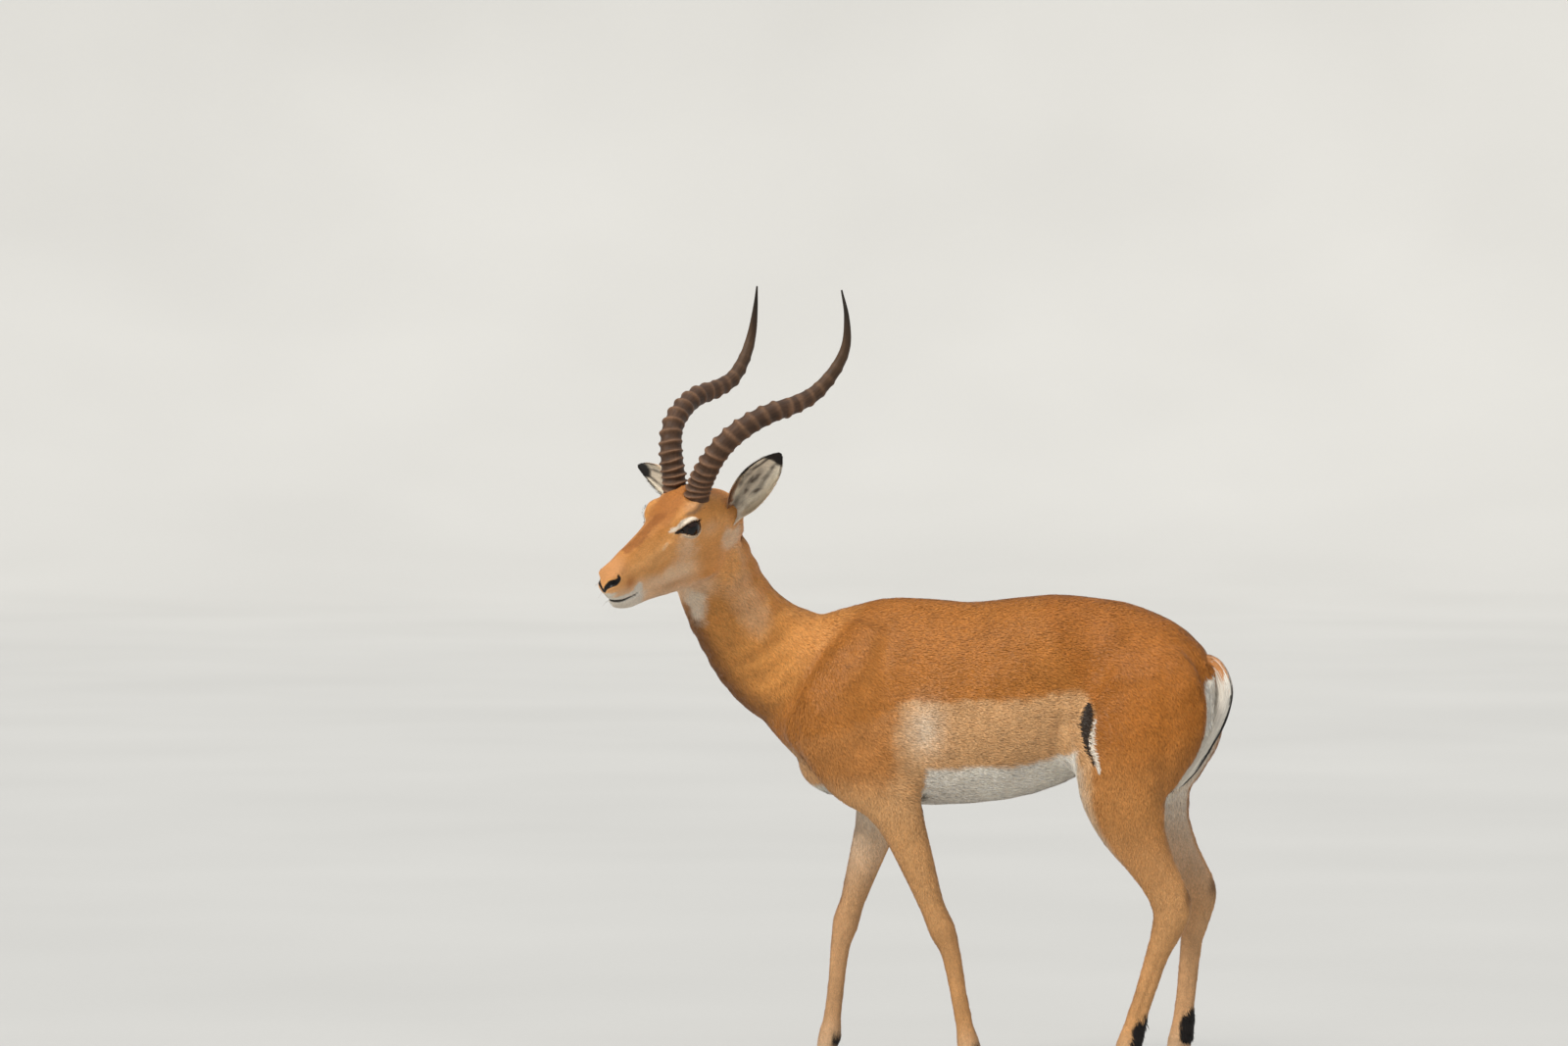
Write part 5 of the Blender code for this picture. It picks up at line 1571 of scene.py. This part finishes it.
def build_lashes(material):
    """Dark lashes on the upper lids, a few on the lower, and whiskers on lips and chin."""
    rng = np.random.default_rng(501)
    parts = []

    def add(lines, half, normals, colour, places):
        count = len(lines)
        parts.append((lines, np.full(count, half), normals, np.tile(colour, (count, 1)), places))

    for index, side in enumerate((1, -1)):
        centre = from_head(EYE_AT * (1, side, 1))
        for upper, count, length in ((True, 84, 0.0072), (False, 16, 0.003)):
            along = rng.uniform(-0.8, 0.8, count)
            across = (1 - np.abs(along) ** 1.5) ** (1 / 1.9)
            ahead = LID["middle"][0] + along * np.where(along > 0, LID["front"], LID["back"])
            above = LID["middle"][1] + across * (LID["top"] if upper else -LID["bottom"]) * 1.03
            spread_out = 1 + ahead**2 + above**2
            ray = np.stack((2 * ahead, (2 - spread_out) * side, 2 * above), 1) / spread_out[:, None] @ AXES
            rise = AXES[2] if upper else -AXES[2]
            root = centre + ray * (EYE_RADIUS + LID_THICKNESS - 0.0001)
            reach = length * rng.uniform(0.7, 1.15, count)
            droop = 0.42 if upper else 0.25
            lean = AXES[0] * (0.3 * along)[:, None] + 0.1 * rng.standard_normal((count, 3))
            lines = strands(5, lambda t: root + (reach * t)[:, None] * unit(
                ray * (1 - 0.35 * t) + rise * (-droop + 1.1 * t) * 0.55 + lean))
            places = np.stack((0.3 + 0.4 * index + 0.08 * along, np.full(count, 0.3 + 0.3 * upper)), 1)
            flat = np.cross(unit(lines[:, -1] - root), AXES[1] * side) + ray * 0.5
            add(lines, 0.00026, flat, tone(34, 24, 20), places)
    for index, side in enumerate((1, -1)):
        count = 16
        u = rng.uniform(0.262, 0.3, count)
        on_lip = rng.random(count) < 0.6
        w = np.where(on_lip, rng.uniform(-0.022, -0.004, count), rng.uniform(-0.05, -0.038, count))
        start = from_head(np.stack((u, np.full(count, side * 0.06), w), 1))
        roots, normals = Skin.cast(start, np.tile(-side * AXES[1], (count, 1)))
        reach = rng.uniform(0.008, 0.018, count)
        way = unit(normals * 0.7 + AXES[0] * 0.35 - AXES[2] * 0.35 + 0.15 * rng.standard_normal((count, 3)))
        lines = strands(5, lambda t: roots + way * (reach * t)[:, None]
                        - AXES[2] * (reach * 0.22 * t * t)[:, None])
        places = np.stack((0.3 + 0.4 * index + rng.uniform(-0.1, 0.1, count), np.full(count, 0.9)), 1)
        add(lines, 0.00012, np.cross(way, AXES[2]), tone(120, 98, 82), places)
    lines, half, normals, colours, places = joined(parts)
    return long_tufts("lashes_and_whiskers", lines, half, normals, colours, places, material, 0.95)


# -------------------- horns

HORN_BASE_RADIUS = 0.0205
HORN_RINGS = 19
HORN_RING_END = 0.74  # share of the length at which the rings fade out
HORN = (  # middle of a horn, in the head's axes: forward, outwards, up
    (0.087, 0.0235, 0.066), (0.086, 0.027, 0.078), (0.08, 0.03, 0.106), (0.064, 0.048, 0.152),
    (0.036, 0.067, 0.188), (-0.008, 0.081, 0.207), (-0.056, 0.091, 0.2125), (-0.108, 0.096, 0.208),
    (-0.158, 0.1, 0.212),
    (-0.202, 0.108, 0.238), (-0.23, 0.113, 0.274), (-0.242, 0.109, 0.322), (-0.244, 0.1, 0.368),
)
# how far each horn's tip strays from that line
HORN_STRAY = {"left": (-0.003, 0.002, 0.018), "right": (0.002, 0.006, -0.017)}


def horn_radius(share):
    """The horn's radius between its rings: tucked in at the root, tapering to a blunt point."""
    plain = HORN_BASE_RADIUS * (1 - 0.5 * share - 0.36 * share**3) * (0.76 + 0.24 * ramp(share, 0.004, 0.045))
    return plain * (1 - share**9) + 0.0016


def ring_crests():
    """Shares of the horn's length at which its rings stand highest."""
    steps = 0.55 + 1.1 * np.sin(math.pi * np.minimum(1, (np.arange(HORN_RINGS) + 1) / HORN_RINGS) * 0.62) ** 1.6
    return 0.045 + (HORN_RING_END - 0.045) * np.cumsum(steps) / steps.sum()


def build_horn(side, material):
    """One horn: rings strong on its outer curve and front, faint behind, slanting round a smooth core."""
    sign = 1 if side == "left" else -1
    keys = np.array(HORN) * (1, sign, 1)
    stray = np.array(HORN_STRAY[side]) * (1, sign, 1)
    keys += stray * (np.arange(len(keys))[:, None] / (len(keys) - 1)) ** 2
    line = through(from_head(keys), 240)
    lengths = np.concatenate(([0], np.cumsum(np.linalg.norm(np.diff(line, axis=0), axis=1))))
    total = lengths[-1]
    tangents = np.gradient(line, axis=0)
    rows, sides = ((560, 56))
    share = np.linspace(0, 1, rows)
    centre, along = (np.stack([np.interp(share, lengths / total, rows_of) for rows_of in values.T], 1)
                     for values in (line, tangents))
    along = unit(along)
    first = unit(AXES[1] - along * (along @ AXES[1])[:, None])
    second = np.cross(along, first)
    angle = np.linspace(0, 2 * math.pi, sides, endpoint=False)
    c, s = np.cos(angle)[None, :], np.sin(angle)[None, :]
    radial = first[:, None] * c[..., None] + second[:, None] * s[..., None]
    outer = unit(-np.gradient(along, axis=0) + 1e-9)
    facing = (radial * outer[:, None]).sum(2)
    crests = ring_crests()
    crests = np.concatenate(([0.012, 0.03], crests, [crests[-1] + 0.045, crests[-1] + 0.085]))
    down, level = share[:, None], np.zeros((rows, 1))
    waves = noise(np.stack(np.broadcast_arrays(down * 40, c + level, s + level), 2), 0.7, 61)
    place = down + 0.0055 * facing + 0.0045 * (radial @ AXES[0]) + 0.0016 * waves
    number = np.clip(np.searchsorted(crests, place.ravel()), 1, len(crests) - 1).reshape(place.shape)
    phase = (place - crests[number - 1]) / (crests[number] - crests[number - 1])
    ridge = np.exp(-(np.minimum(phase, 1 - phase) / 0.19) ** 2)
    ridge = np.where((place < crests[0]) | (place > crests[-1]), 0.0, ridge)
    fade = ramp(down, HORN_RING_END + 0.1, HORN_RING_END - 0.03)
    fade = (1 - 0.45 * np.clip(down / HORN_RING_END, 0, 1)) * fade
    settings = bpy.context.scene.impala_horns
    strength = settings.ring_depth * 0.01 * fade * (0.62 + 0.38 * facing)
    radius = horn_radius(down) * (1 + strength * (2.3 * ridge - 0.8))
    grain = np.stack((c * radius, s * radius, np.repeat(down * total, sides, 1)), 2)
    radius = radius * (1 + 0.01 * noise(grain * (1, 1, 0.12), 0.0022, 62) * ramp(down, 1.0, 0.9))
    oval = first[:, None] * (c * 0.94)[..., None] + second[:, None] * (s * 1.06)[..., None]
    points = centre[:, None] + oval * radius[..., None]
    mesh = grid_mesh("horn_" + side, points, (True, True))
    flat = points.reshape(-1, 3)
    # painted highlight and shade: the crests of the rings are painted paler and the grooves between them darker
    coat = Coating(np.array(settings.groove_shade_colour), len(flat))
    coat.lay(np.array(settings.ridge_highlight_colour), (0.75 * ridge * fade).ravel())
    upper = np.repeat(down, sides, 1).ravel()
    coat.lay(tone(78, 58, 40), 0.75 * ramp(upper, 0.55, 0.76))
    coat.lay(tone(46, 40, 34), ramp(upper, 0.8, 0.95))
    coat.lay(tone(52, 38, 28), 0.6 * ramp(upper, 0.06, 0.0))
    wear = 1 + 0.22 * noise(grain.reshape(-1, 3) * (1, 1, 0.3), 0.008, 63) + 0.1 * noise(flat, 0.02, 64)
    paint_points(mesh, "markings", np.clip(coat.colours * wear[:, None], 0.002, 0.9))
    keep_values(mesh, "grain", "FLOAT_VECTOR", "vector", grain)
    made = new_piece("horn_shape_" + side, mesh, material)
    face_outward(mesh)
    ride_and_replace(made, ["horn_" + side])


# -------------------- claws, eyes

SOLE_LENGTH = 0.056
SOLE_WIDTH = 0.0215
CLAW_HEIGHT = 0.036
CLAW_WALL = (  # share of the height, length and width as shares of the sole's, and lean to the rear in metres
    (0.0, 1.0, 1.0, 0.0), (0.25, 0.985, 1.0, 0.002), (0.65, 0.86, 0.97, 0.0065), (1.0, 0.7, 0.88, 0.011))
CLAW_ROUNDNESS = 2.3  # 2 is an ellipse; more is squarer


def build_claw(node, material):
    """One claw: flat sole with a worn edge, sloping ringed wall, pointed toe."""
    low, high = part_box(node)
    middle_x = low[0] + SOLE_LENGTH / 2
    middle_y = (low[1] + high[1]) / 2
    outward = 1 if ("right" in node) == ("outer" in node) else -1
    rows, sides = ((44, 64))
    height = np.concatenate(((0.0, 0.004, 0.014, 0.03), np.linspace(0.05, 1.0, rows)))
    levels, *shapes = np.array(CLAW_WALL).T
    long, wide, back = (np.interp(height, levels, shape) for shape in shapes)
    edge = 1 - 0.035 * np.maximum(0, 1 - height / 0.03) ** 2
    long, wide = long * edge, wide * edge
    angle = np.linspace(0, 2 * math.pi, sides, endpoint=False)
    c, s = (np.sign(way) * np.abs(way) ** (2 / CLAW_ROUNDNESS) for way in (np.cos(angle), np.sin(angle)))
    taper = 1 - 0.38 * np.maximum(0, -c) ** 1.5
    x = middle_x + back[:, None] + c * (long * SOLE_LENGTH / 2)[:, None]
    y = middle_y - outward * 0.0018 * np.maximum(0, -c) + s * taper * (wide * SOLE_WIDTH / 2)[:, None]
    z = np.repeat((height * CLAW_HEIGHT)[:, None], sides, 1) + low[2]
    points = np.stack((x, y, z), 2)
    out = unit(points - points.mean(1, keepdims=True))
    lines = 0.00022 * np.sin(height * 62)[:, None] + 0.0002 * noise(points * (0.3, 0.3, 2.0), 0.004, 71)
    points = points + out * (lines * ramp(height, 0.02, 0.12)[:, None])[..., None] * (1, 1, 0)
    mesh = grid_mesh(node, points, (True, True))
    flat = points.reshape(-1, 3)
    coat = Coating(tone(30, 25, 23), len(flat))
    level = np.repeat(height[:, None], sides, 1).ravel()
    coat.lay(tone(64, 54, 46), 0.55 * ramp(level + 0.15 * noise(flat, 0.006, 72), 0.35, 0.05))
    coat.lay(tone(84, 66, 50), 0.5 * ramp(level, 0.86, 1.0))
    wear = 1 + 0.25 * noise(flat * (0.4, 0.4, 2.0), 0.003, 73)
    paint_points(mesh, "markings", np.clip(coat.colours * wear[:, None], 0.002, 0.9))
    made = new_piece(node.replace("hoof", "claw"), mesh, material)
    face_outward(mesh)
    ride_and_replace(made, [node])


def build_eye(side, material):
    """An eyeball: dark brown iris, long level pupil, dark rim, and a cornea that stands proud."""
    sign = 1 if side == "left" else -1
    centre = middle_of("eye_" + side)
    gaze = unit(np.array((0.3, sign * 1.0, 0.02)) @ AXES)
    level = unit(AXES[0] - gaze * (gaze @ AXES[0]))
    above = np.cross(gaze, level) * sign
    rings, spokes = ((72, 72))
    polar = np.linspace(0, math.pi, rings + 1)[1:-1]
    turn = np.linspace(0, 2 * math.pi, spokes, endpoint=False)
    a, b = np.meshgrid(polar, turn, indexing="ij")
    radius = EYE_RADIUS * (1 + 0.045 * ramp(a, 0.72, 0.1))
    ahead, right, up = np.cos(a), np.sin(a) * np.cos(b), np.sin(a) * np.sin(b)
    way = gaze * ahead[..., None] + level * right[..., None] + above * up[..., None]
    points = centre + radius[..., None] * way
    mesh = grid_mesh("eye_ball_" + side, points, (True, True))
    degrees = np.degrees(a).ravel()
    right, up = right.ravel(), up.ravel()
    streaked = np.stack((np.cos(b).ravel() * 3, np.sin(b).ravel() * 3, degrees * 0.01), 1)
    rays = 0.5 + 0.5 * noise(streaked, 0.16, 81)
    iris_colour = np.array(bpy.context.scene.impala_eyes.iris_colour)
    coat = Coating(tone(26, 18, 15), len(degrees))
    coat.lay(iris_colour * (0.55 + 0.9 * rays)[:, None], ramp(degrees, 54, 46))
    coat.lay(tone(14, 10, 10), 0.9 * bump(degrees, 52, 5))
    pupil = (np.abs(right) / 0.56) ** 2.6 + (np.abs(up) / 0.3) ** 2.6
    coat.lay(tone(7, 8, 11), ramp(pupil, 1.25, 0.85) * (degrees < 90))
    paint_points(mesh, "markings", np.clip(coat.colours, 0.001, 0.9))
    made = new_piece("eye_ball_" + side, mesh, material)
    face_outward(mesh)
    ride_and_replace(made, ["eye_" + side])


# -------------------- the skin piece


def build_skin(material):
    """The ram's skin and the leaves of both ears as one piece, painted with the markings."""
    mesh = sculpted_skin()
    Skin.keep(mesh)
    colours = coat_colours(Skin.points, Skin.normals, Skin.owners, behind_shank(Skin.points))
    bare = bare_skin(Skin.points)
    Skin.growth = 1 - bare
    paint_points(mesh, "markings", colours)
    keep_values(mesh, "bare", "FLOAT", "value", bare)
    made = new_piece("skin", mesh, material)
    shells = []
    for side in ("left", "right"):
        shell, marks = ear_shell(side)
        paint_points(shell, "markings", marks)
        face_outward(shell)
        keep_values(shell, "bare", "FLOAT", "value", np.zeros(len(shell.vertices)))
        shells.append(new_piece("ear_" + side + "_skin", shell, material))
    join_pieces(made, shells)
    ride_and_replace(made, BODY_NODES + ["ear_left", "ear_right"])


def join_pieces(target, others):
    """Adds the meshes of the other pieces to the target."""
    with bpy.context.temp_override(active_object=target, selected_editable_objects=[target] + others,
                                   selected_objects=[target] + others):
        bpy.ops.object.join()


# -------------------- studio stage

CAMERA_TURN = 12.0       # degrees that the view is turned from the ram's own left side
CAMERA_DISTANCE = 16.0
CAMERA_HEIGHT = 1.6
CAMERA_ASIDE = -0.383    # how far the middle of the view lies ahead of the ram's middle
CAMERA_PITCH = 2.04      # degrees that the view is turned down
LENS_PER_WIDTH = 5.75    # focal length as a multiple of the sensor's width


def place_camera():
    """A far camera on the ram's left side, level with its back."""
    turn, pitch = math.radians(CAMERA_TURN), math.radians(CAMERA_PITCH)
    right = np.array((math.cos(turn), math.sin(turn), 0.0))
    ahead = np.array((-math.sin(turn), math.cos(turn), 0.0))
    spot = MIDDLE - CAMERA_DISTANCE * ahead + CAMERA_ASIDE * right + np.array((0.0, 0.0, CAMERA_HEIGHT))
    data = bpy.data.cameras.new("camera")
    data.sensor_width = 36.0
    data.lens = LENS_PER_WIDTH * data.sensor_width
    data.clip_start = 0.1
    data.clip_end = 80.0
    camera = bpy.data.objects.new("camera", data)
    bpy.context.scene.collection.objects.link(camera)
    camera.location = spot
    look = Vector(ahead * math.cos(pitch) - np.array((0.0, 0.0, math.sin(pitch))))
    camera.rotation_euler = look.to_track_quat("-Z", "Y").to_euler()
    bpy.context.scene.camera = camera


def add_light(name, turn, height, softness, power, colour):
    """A very large soft lamp, far away: its light comes from this turn and height, in degrees."""
    data = bpy.data.lights.new(name, "SUN")
    data.angle = math.radians(softness)
    data.energy = power
    data.color = colour
    light = bpy.data.objects.new(name, data)
    bpy.context.scene.collection.objects.link(light)
    turn, height = math.radians(turn), math.radians(height)
    source = Vector((math.sin(turn) * math.cos(height), -math.cos(turn) * math.cos(height), math.sin(height)))
    light.location = source * 8
    light.rotation_euler = (-source).to_track_quat("-Z", "Y").to_euler()


def studio_paint():
    """Matt pale paint, faintly grained and uneven."""
    paint = Paint("pale studio floor")
    grain = paint.noise(paint.stretched((1.0, 1.0, 1.0)), 60.0, 4.0, 0.6)
    wide = paint.noise(paint.stretched((1.0, 1.0, 1.0)), 0.7, 2.0, 0.5)
    floor = tuple(bpy.context.scene.impala_stage.floor_colour) + (1.0,)
    colour = paint.shade(floor, paint.levels(wide, 0.3, 0.7, 0.96, 1.02))
    return paint.finish(Base_Color=colour, Normal=paint.bump(grain, 0.15, 0.002),
                        Roughness=paint.levels(grain, 0.3, 0.7, 0.7, 0.85), Specular_IOR_Level=0.2)


FLOOR_RINGS = (0.02, 1.0, 2.0, 3.5, 5.0, 8.0, 12.0, 16.0)
FLOOR_SIDES = 96
FLOOR_RADIUS = 20.0
SWEEP_RADIUS = 6.0


def build_floor():
    """A pale round floor that sweeps up into a wall all round, beyond the camera."""
    flat = np.array(FLOOR_RINGS)
    bend = np.radians(np.linspace(0, 90, 14))
    across = np.concatenate((flat, FLOOR_RADIUS + SWEEP_RADIUS * np.sin(bend)))
    height = np.concatenate((0 * flat, SWEEP_RADIUS * (1 - np.cos(bend))))
    angle = np.linspace(0, 2 * math.pi, FLOOR_SIDES, endpoint=False)
    points = np.stack((across[:, None] * np.cos(angle), across[:, None] * np.sin(angle),
                       np.repeat(height[:, None], FLOOR_SIDES, 1)), 2)
    mesh = grid_mesh("floor", points, (True, False))
    new_piece("floor", mesh, studio_paint())


LAMPS = (  # name, turn and height in degrees, softness in degrees, brightness and colour
    ("key light", -28.0, 42.0, 14.0, 2.35, (1.0, 0.965, 0.9)),
    ("top light", 60.0, 78.0, 50.0, 1.1, (1.0, 0.98, 0.95)),
)


def build_stage():
    """Floor, light from all round, lamps and camera."""
    scene = bpy.context.scene
    stage = scene.impala_stage
    scene.view_settings.view_transform = "Standard"
    scene.view_settings.look = "None"
    build_floor()
    world = bpy.data.worlds.new("studio")
    world.use_nodes = True
    sky = next(node for node in world.node_tree.nodes if node.type == "BACKGROUND")
    sky.inputs["Color"].default_value = (0.9, 0.95, 1.0, 1.0)
    sky.inputs["Strength"].default_value = stage.fill
    scene.world = world
    place_camera()
    for name, turn, height, softness, power, colour in LAMPS:
        add_light(name, turn, height, softness, power * stage.key, colour)


# -------------------- add-on's parts


COLOUR = {"subtype": "COLOR", "size": 3, "min": 0.0, "max": 1.0}


class ImpalaCoatSettings(bpy.types.PropertyGroup):
    length: bpy.props.FloatProperty(
        name="Hair length", description="Length of the tufts against that of a short summer coat",
        default=1.0, min=0.3, max=2.0, subtype="FACTOR")
    fullness: bpy.props.FloatProperty(
        name="Fullness", description="Number of tufts against that of a full coat",
        default=1.0, min=0.1, max=1.0, subtype="FACTOR")
    disorder: bpy.props.FloatProperty(
        name="Disorder", description="How many degrees the tufts stray from the lie of the coat",
        default=8.0, min=0.0, max=40.0)


class ImpalaHornSettings(bpy.types.PropertyGroup):
    ring_depth: bpy.props.FloatProperty(
        name="Ring depth", description="Height of the rings as a percentage of the horn's radius",
        default=12.0, min=0.0, max=20.0, subtype="PERCENTAGE")
    # painted highlight: the colour laid on the crests of the rings
    ridge_highlight_colour: bpy.props.FloatVectorProperty(
        name="Ridges", description="Colour of the worn ridges", **COLOUR,
        default=tuple(tone(136, 101, 75)))
    # painted shade: the colour between the rings
    groove_shade_colour: bpy.props.FloatVectorProperty(
        name="Grooves", description="Colour between the ridges", **COLOUR,
        default=tuple(tone(77, 55, 40)))


class ImpalaEyeSettings(bpy.types.PropertyGroup):
    iris_colour: bpy.props.FloatVectorProperty(
        name="Iris", description="Colour of the iris", **COLOUR,
        default=tuple(tone(36, 21, 15)))


class ImpalaStageSettings(bpy.types.PropertyGroup):
    floor_colour: bpy.props.FloatVectorProperty(
        name="Floor", description="Colour of the studio floor", **COLOUR,
        default=(0.525, 0.517, 0.497))
    key: bpy.props.FloatProperty(
        name="Lamps", description="Brightness of the studio lamps",
        default=1.0, min=0.0, max=4.0, subtype="FACTOR")
    fill: bpy.props.FloatProperty(
        name="Surrounding light", description="Brightness of the light from all round",
        default=0.56, min=0.0, max=4.0, subtype="FACTOR")


HAIR = {}  # paint of the short hair, once it is made


def short_hair():
    """The paint that all short hair shares."""
    if "short" not in HAIR:
        HAIR["short"] = hair_paint("short glossy hair")
    return HAIR["short"]


COATS = {  # nodes that a piece of the coat grows on, where it starts and ends along the body, its tufts
    "coat_head": (["head"], -9, 9, 64000),
    "coat_neck": (["neck"], -9, 9, 44000),
    "coat_shoulders": (["trunk"], -9, -0.12, 58000),
    "coat_flanks": (["trunk"], -0.12, 0.16, 62000),
    "coat_rump": (["trunk", "tail"], 0.16, 9, 50000),
    "coat_forelegs": (LEG_NODES[:4], -9, 9, 56000),
    "coat_hindlegs": (LEG_NODES[4:], -9, 9, 64000),
}


class IMPALA_OT_stage(bpy.types.Operator):
    """Lay the pale floor, hang the lamps and set up the camera"""
    bl_idname = "impala.stage"
    bl_label = "Studio"

    def execute(self, context):
        build_stage()
        return {"FINISHED"}


class IMPALA_OT_skin(bpy.types.Operator):
    """Fuse the flesh into one skin with folds, lids, lips, ears and markings"""
    bl_idname = "impala.skin"
    bl_label = "Skin"

    def execute(self, context):
        build_skin(skin_paint())
        return {"FINISHED"}


class IMPALA_OT_coat(bpy.types.Operator):
    """Grow the short coat in tufts that lie along the body"""
    bl_idname = "impala.coat"
    bl_label = "Coat"

    def execute(self, context):
        if Skin.mesh is None:
            raise RuntimeError("the coat grows on the skin: make the skin first")
        hair = short_hair()
        x = to_ram(Skin.points)[:, 0]
        for seed, (name, (nodes, start, end, count)) in enumerate(COATS.items(), 201):
            weight = (among(Skin.owners, nodes) & (x >= start) & (x < end)).astype(float)
            if name == "coat_head":  # finer hair grows closer
                forward = to_head(Skin.points)[:, 0]
                weight *= 1 + 1.6 * ramp(forward, 0.08, 0.16) + 1.6 * ramp(forward, 0.18, 0.26)
            count = int(count * context.scene.impala_coat.fullness)
            ride_and_replace(grow_coat(name, weight, count, seed, hair), [])
        return {"FINISHED"}


class IMPALA_OT_tail(bpy.types.Operator):
    """Hang the long hair of the tail"""
    bl_idname = "impala.tail"
    bl_label = "Tail hair"

    def execute(self, context):
        made = build_tail(hair_paint("long tail hair", 0.58))
        ride_and_replace(made, ["tail"])
        return {"FINISHED"}


class IMPALA_OT_ear_hair(bpy.types.Operator):
    """Grow the hair of the ears, the lashes and the whiskers"""
    bl_idname = "impala.ear_hair"
    bl_label = "Ear hair, lashes and whiskers"

    def execute(self, context):
        hair = short_hair()
        ride_and_replace(build_ear_hair(hair), [])
        ride_and_replace(build_lashes(hair), [])
        return {"FINISHED"}


class IMPALA_OT_horns(bpy.types.Operator):
    """Make the two ringed lyre-shaped horns"""
    bl_idname = "impala.horns"
    bl_label = "Horns"

    def execute(self, context):
        paint = horn_paint()
        for side in ("left", "right"):
            build_horn(side, paint)
        return {"FINISHED"}


class IMPALA_OT_hooves(bpy.types.Operator):
    """Make the eight claws of the cloven hooves"""
    bl_idname = "impala.hooves"
    bl_label = "Hooves"

    def execute(self, context):
        paint = hoof_paint()
        for node in CLAW_NODES:
            build_claw(node, paint)
        return {"FINISHED"}


class IMPALA_OT_eyes(bpy.types.Operator):
    """Make the two wet dark eyes"""
    bl_idname = "impala.eyes"
    bl_label = "Eyes"

    def execute(self, context):
        paint = eye_paint()
        for side in ("left", "right"):
            build_eye(side, paint)
        return {"FINISHED"}


class IMPALA_PT_panel(bpy.types.Panel):
    """Lists the impala's pieces in the order in which they are made"""
    bl_label = "Impala ram"
    bl_idname = "IMPALA_PT_panel"
    bl_space_type = "VIEW_3D"
    bl_region_type = "UI"
    bl_category = "Impala"

    def draw(self, context):
        layout = self.layout
        for maker in MAKERS:
            layout.operator(maker.bl_idname)
        for name in SETTINGS:
            group = getattr(context.scene, name)
            for key in group.__annotations__:
                layout.prop(group, key)


MAKERS = (IMPALA_OT_stage, IMPALA_OT_eyes, IMPALA_OT_horns, IMPALA_OT_hooves,
          IMPALA_OT_skin, IMPALA_OT_coat, IMPALA_OT_tail, IMPALA_OT_ear_hair)
SETTINGS = {
    "impala_coat": ImpalaCoatSettings,
    "impala_horns": ImpalaHornSettings,
    "impala_eyes": ImpalaEyeSettings,
    "impala_stage": ImpalaStageSettings,
}


def register():
    for name, group in SETTINGS.items():
        bpy.utils.register_class(group)
        setattr(bpy.types.Scene, name, bpy.props.PointerProperty(type=group))
    for maker in MAKERS + (IMPALA_PT_panel,):
        bpy.utils.register_class(maker)


def unregister():
    for maker in (IMPALA_PT_panel,) + MAKERS[::-1]:
        bpy.utils.unregister_class(maker)
    for name, group in SETTINGS.items():
        delattr(bpy.types.Scene, name)
        bpy.utils.unregister_class(group)


def main():
    """Makes every piece in order."""
    register()
    for maker in MAKERS:
        group, name = maker.bl_idname.split(".")
        getattr(getattr(bpy.ops, group), name)()


if __name__ == "__main__":
    main()
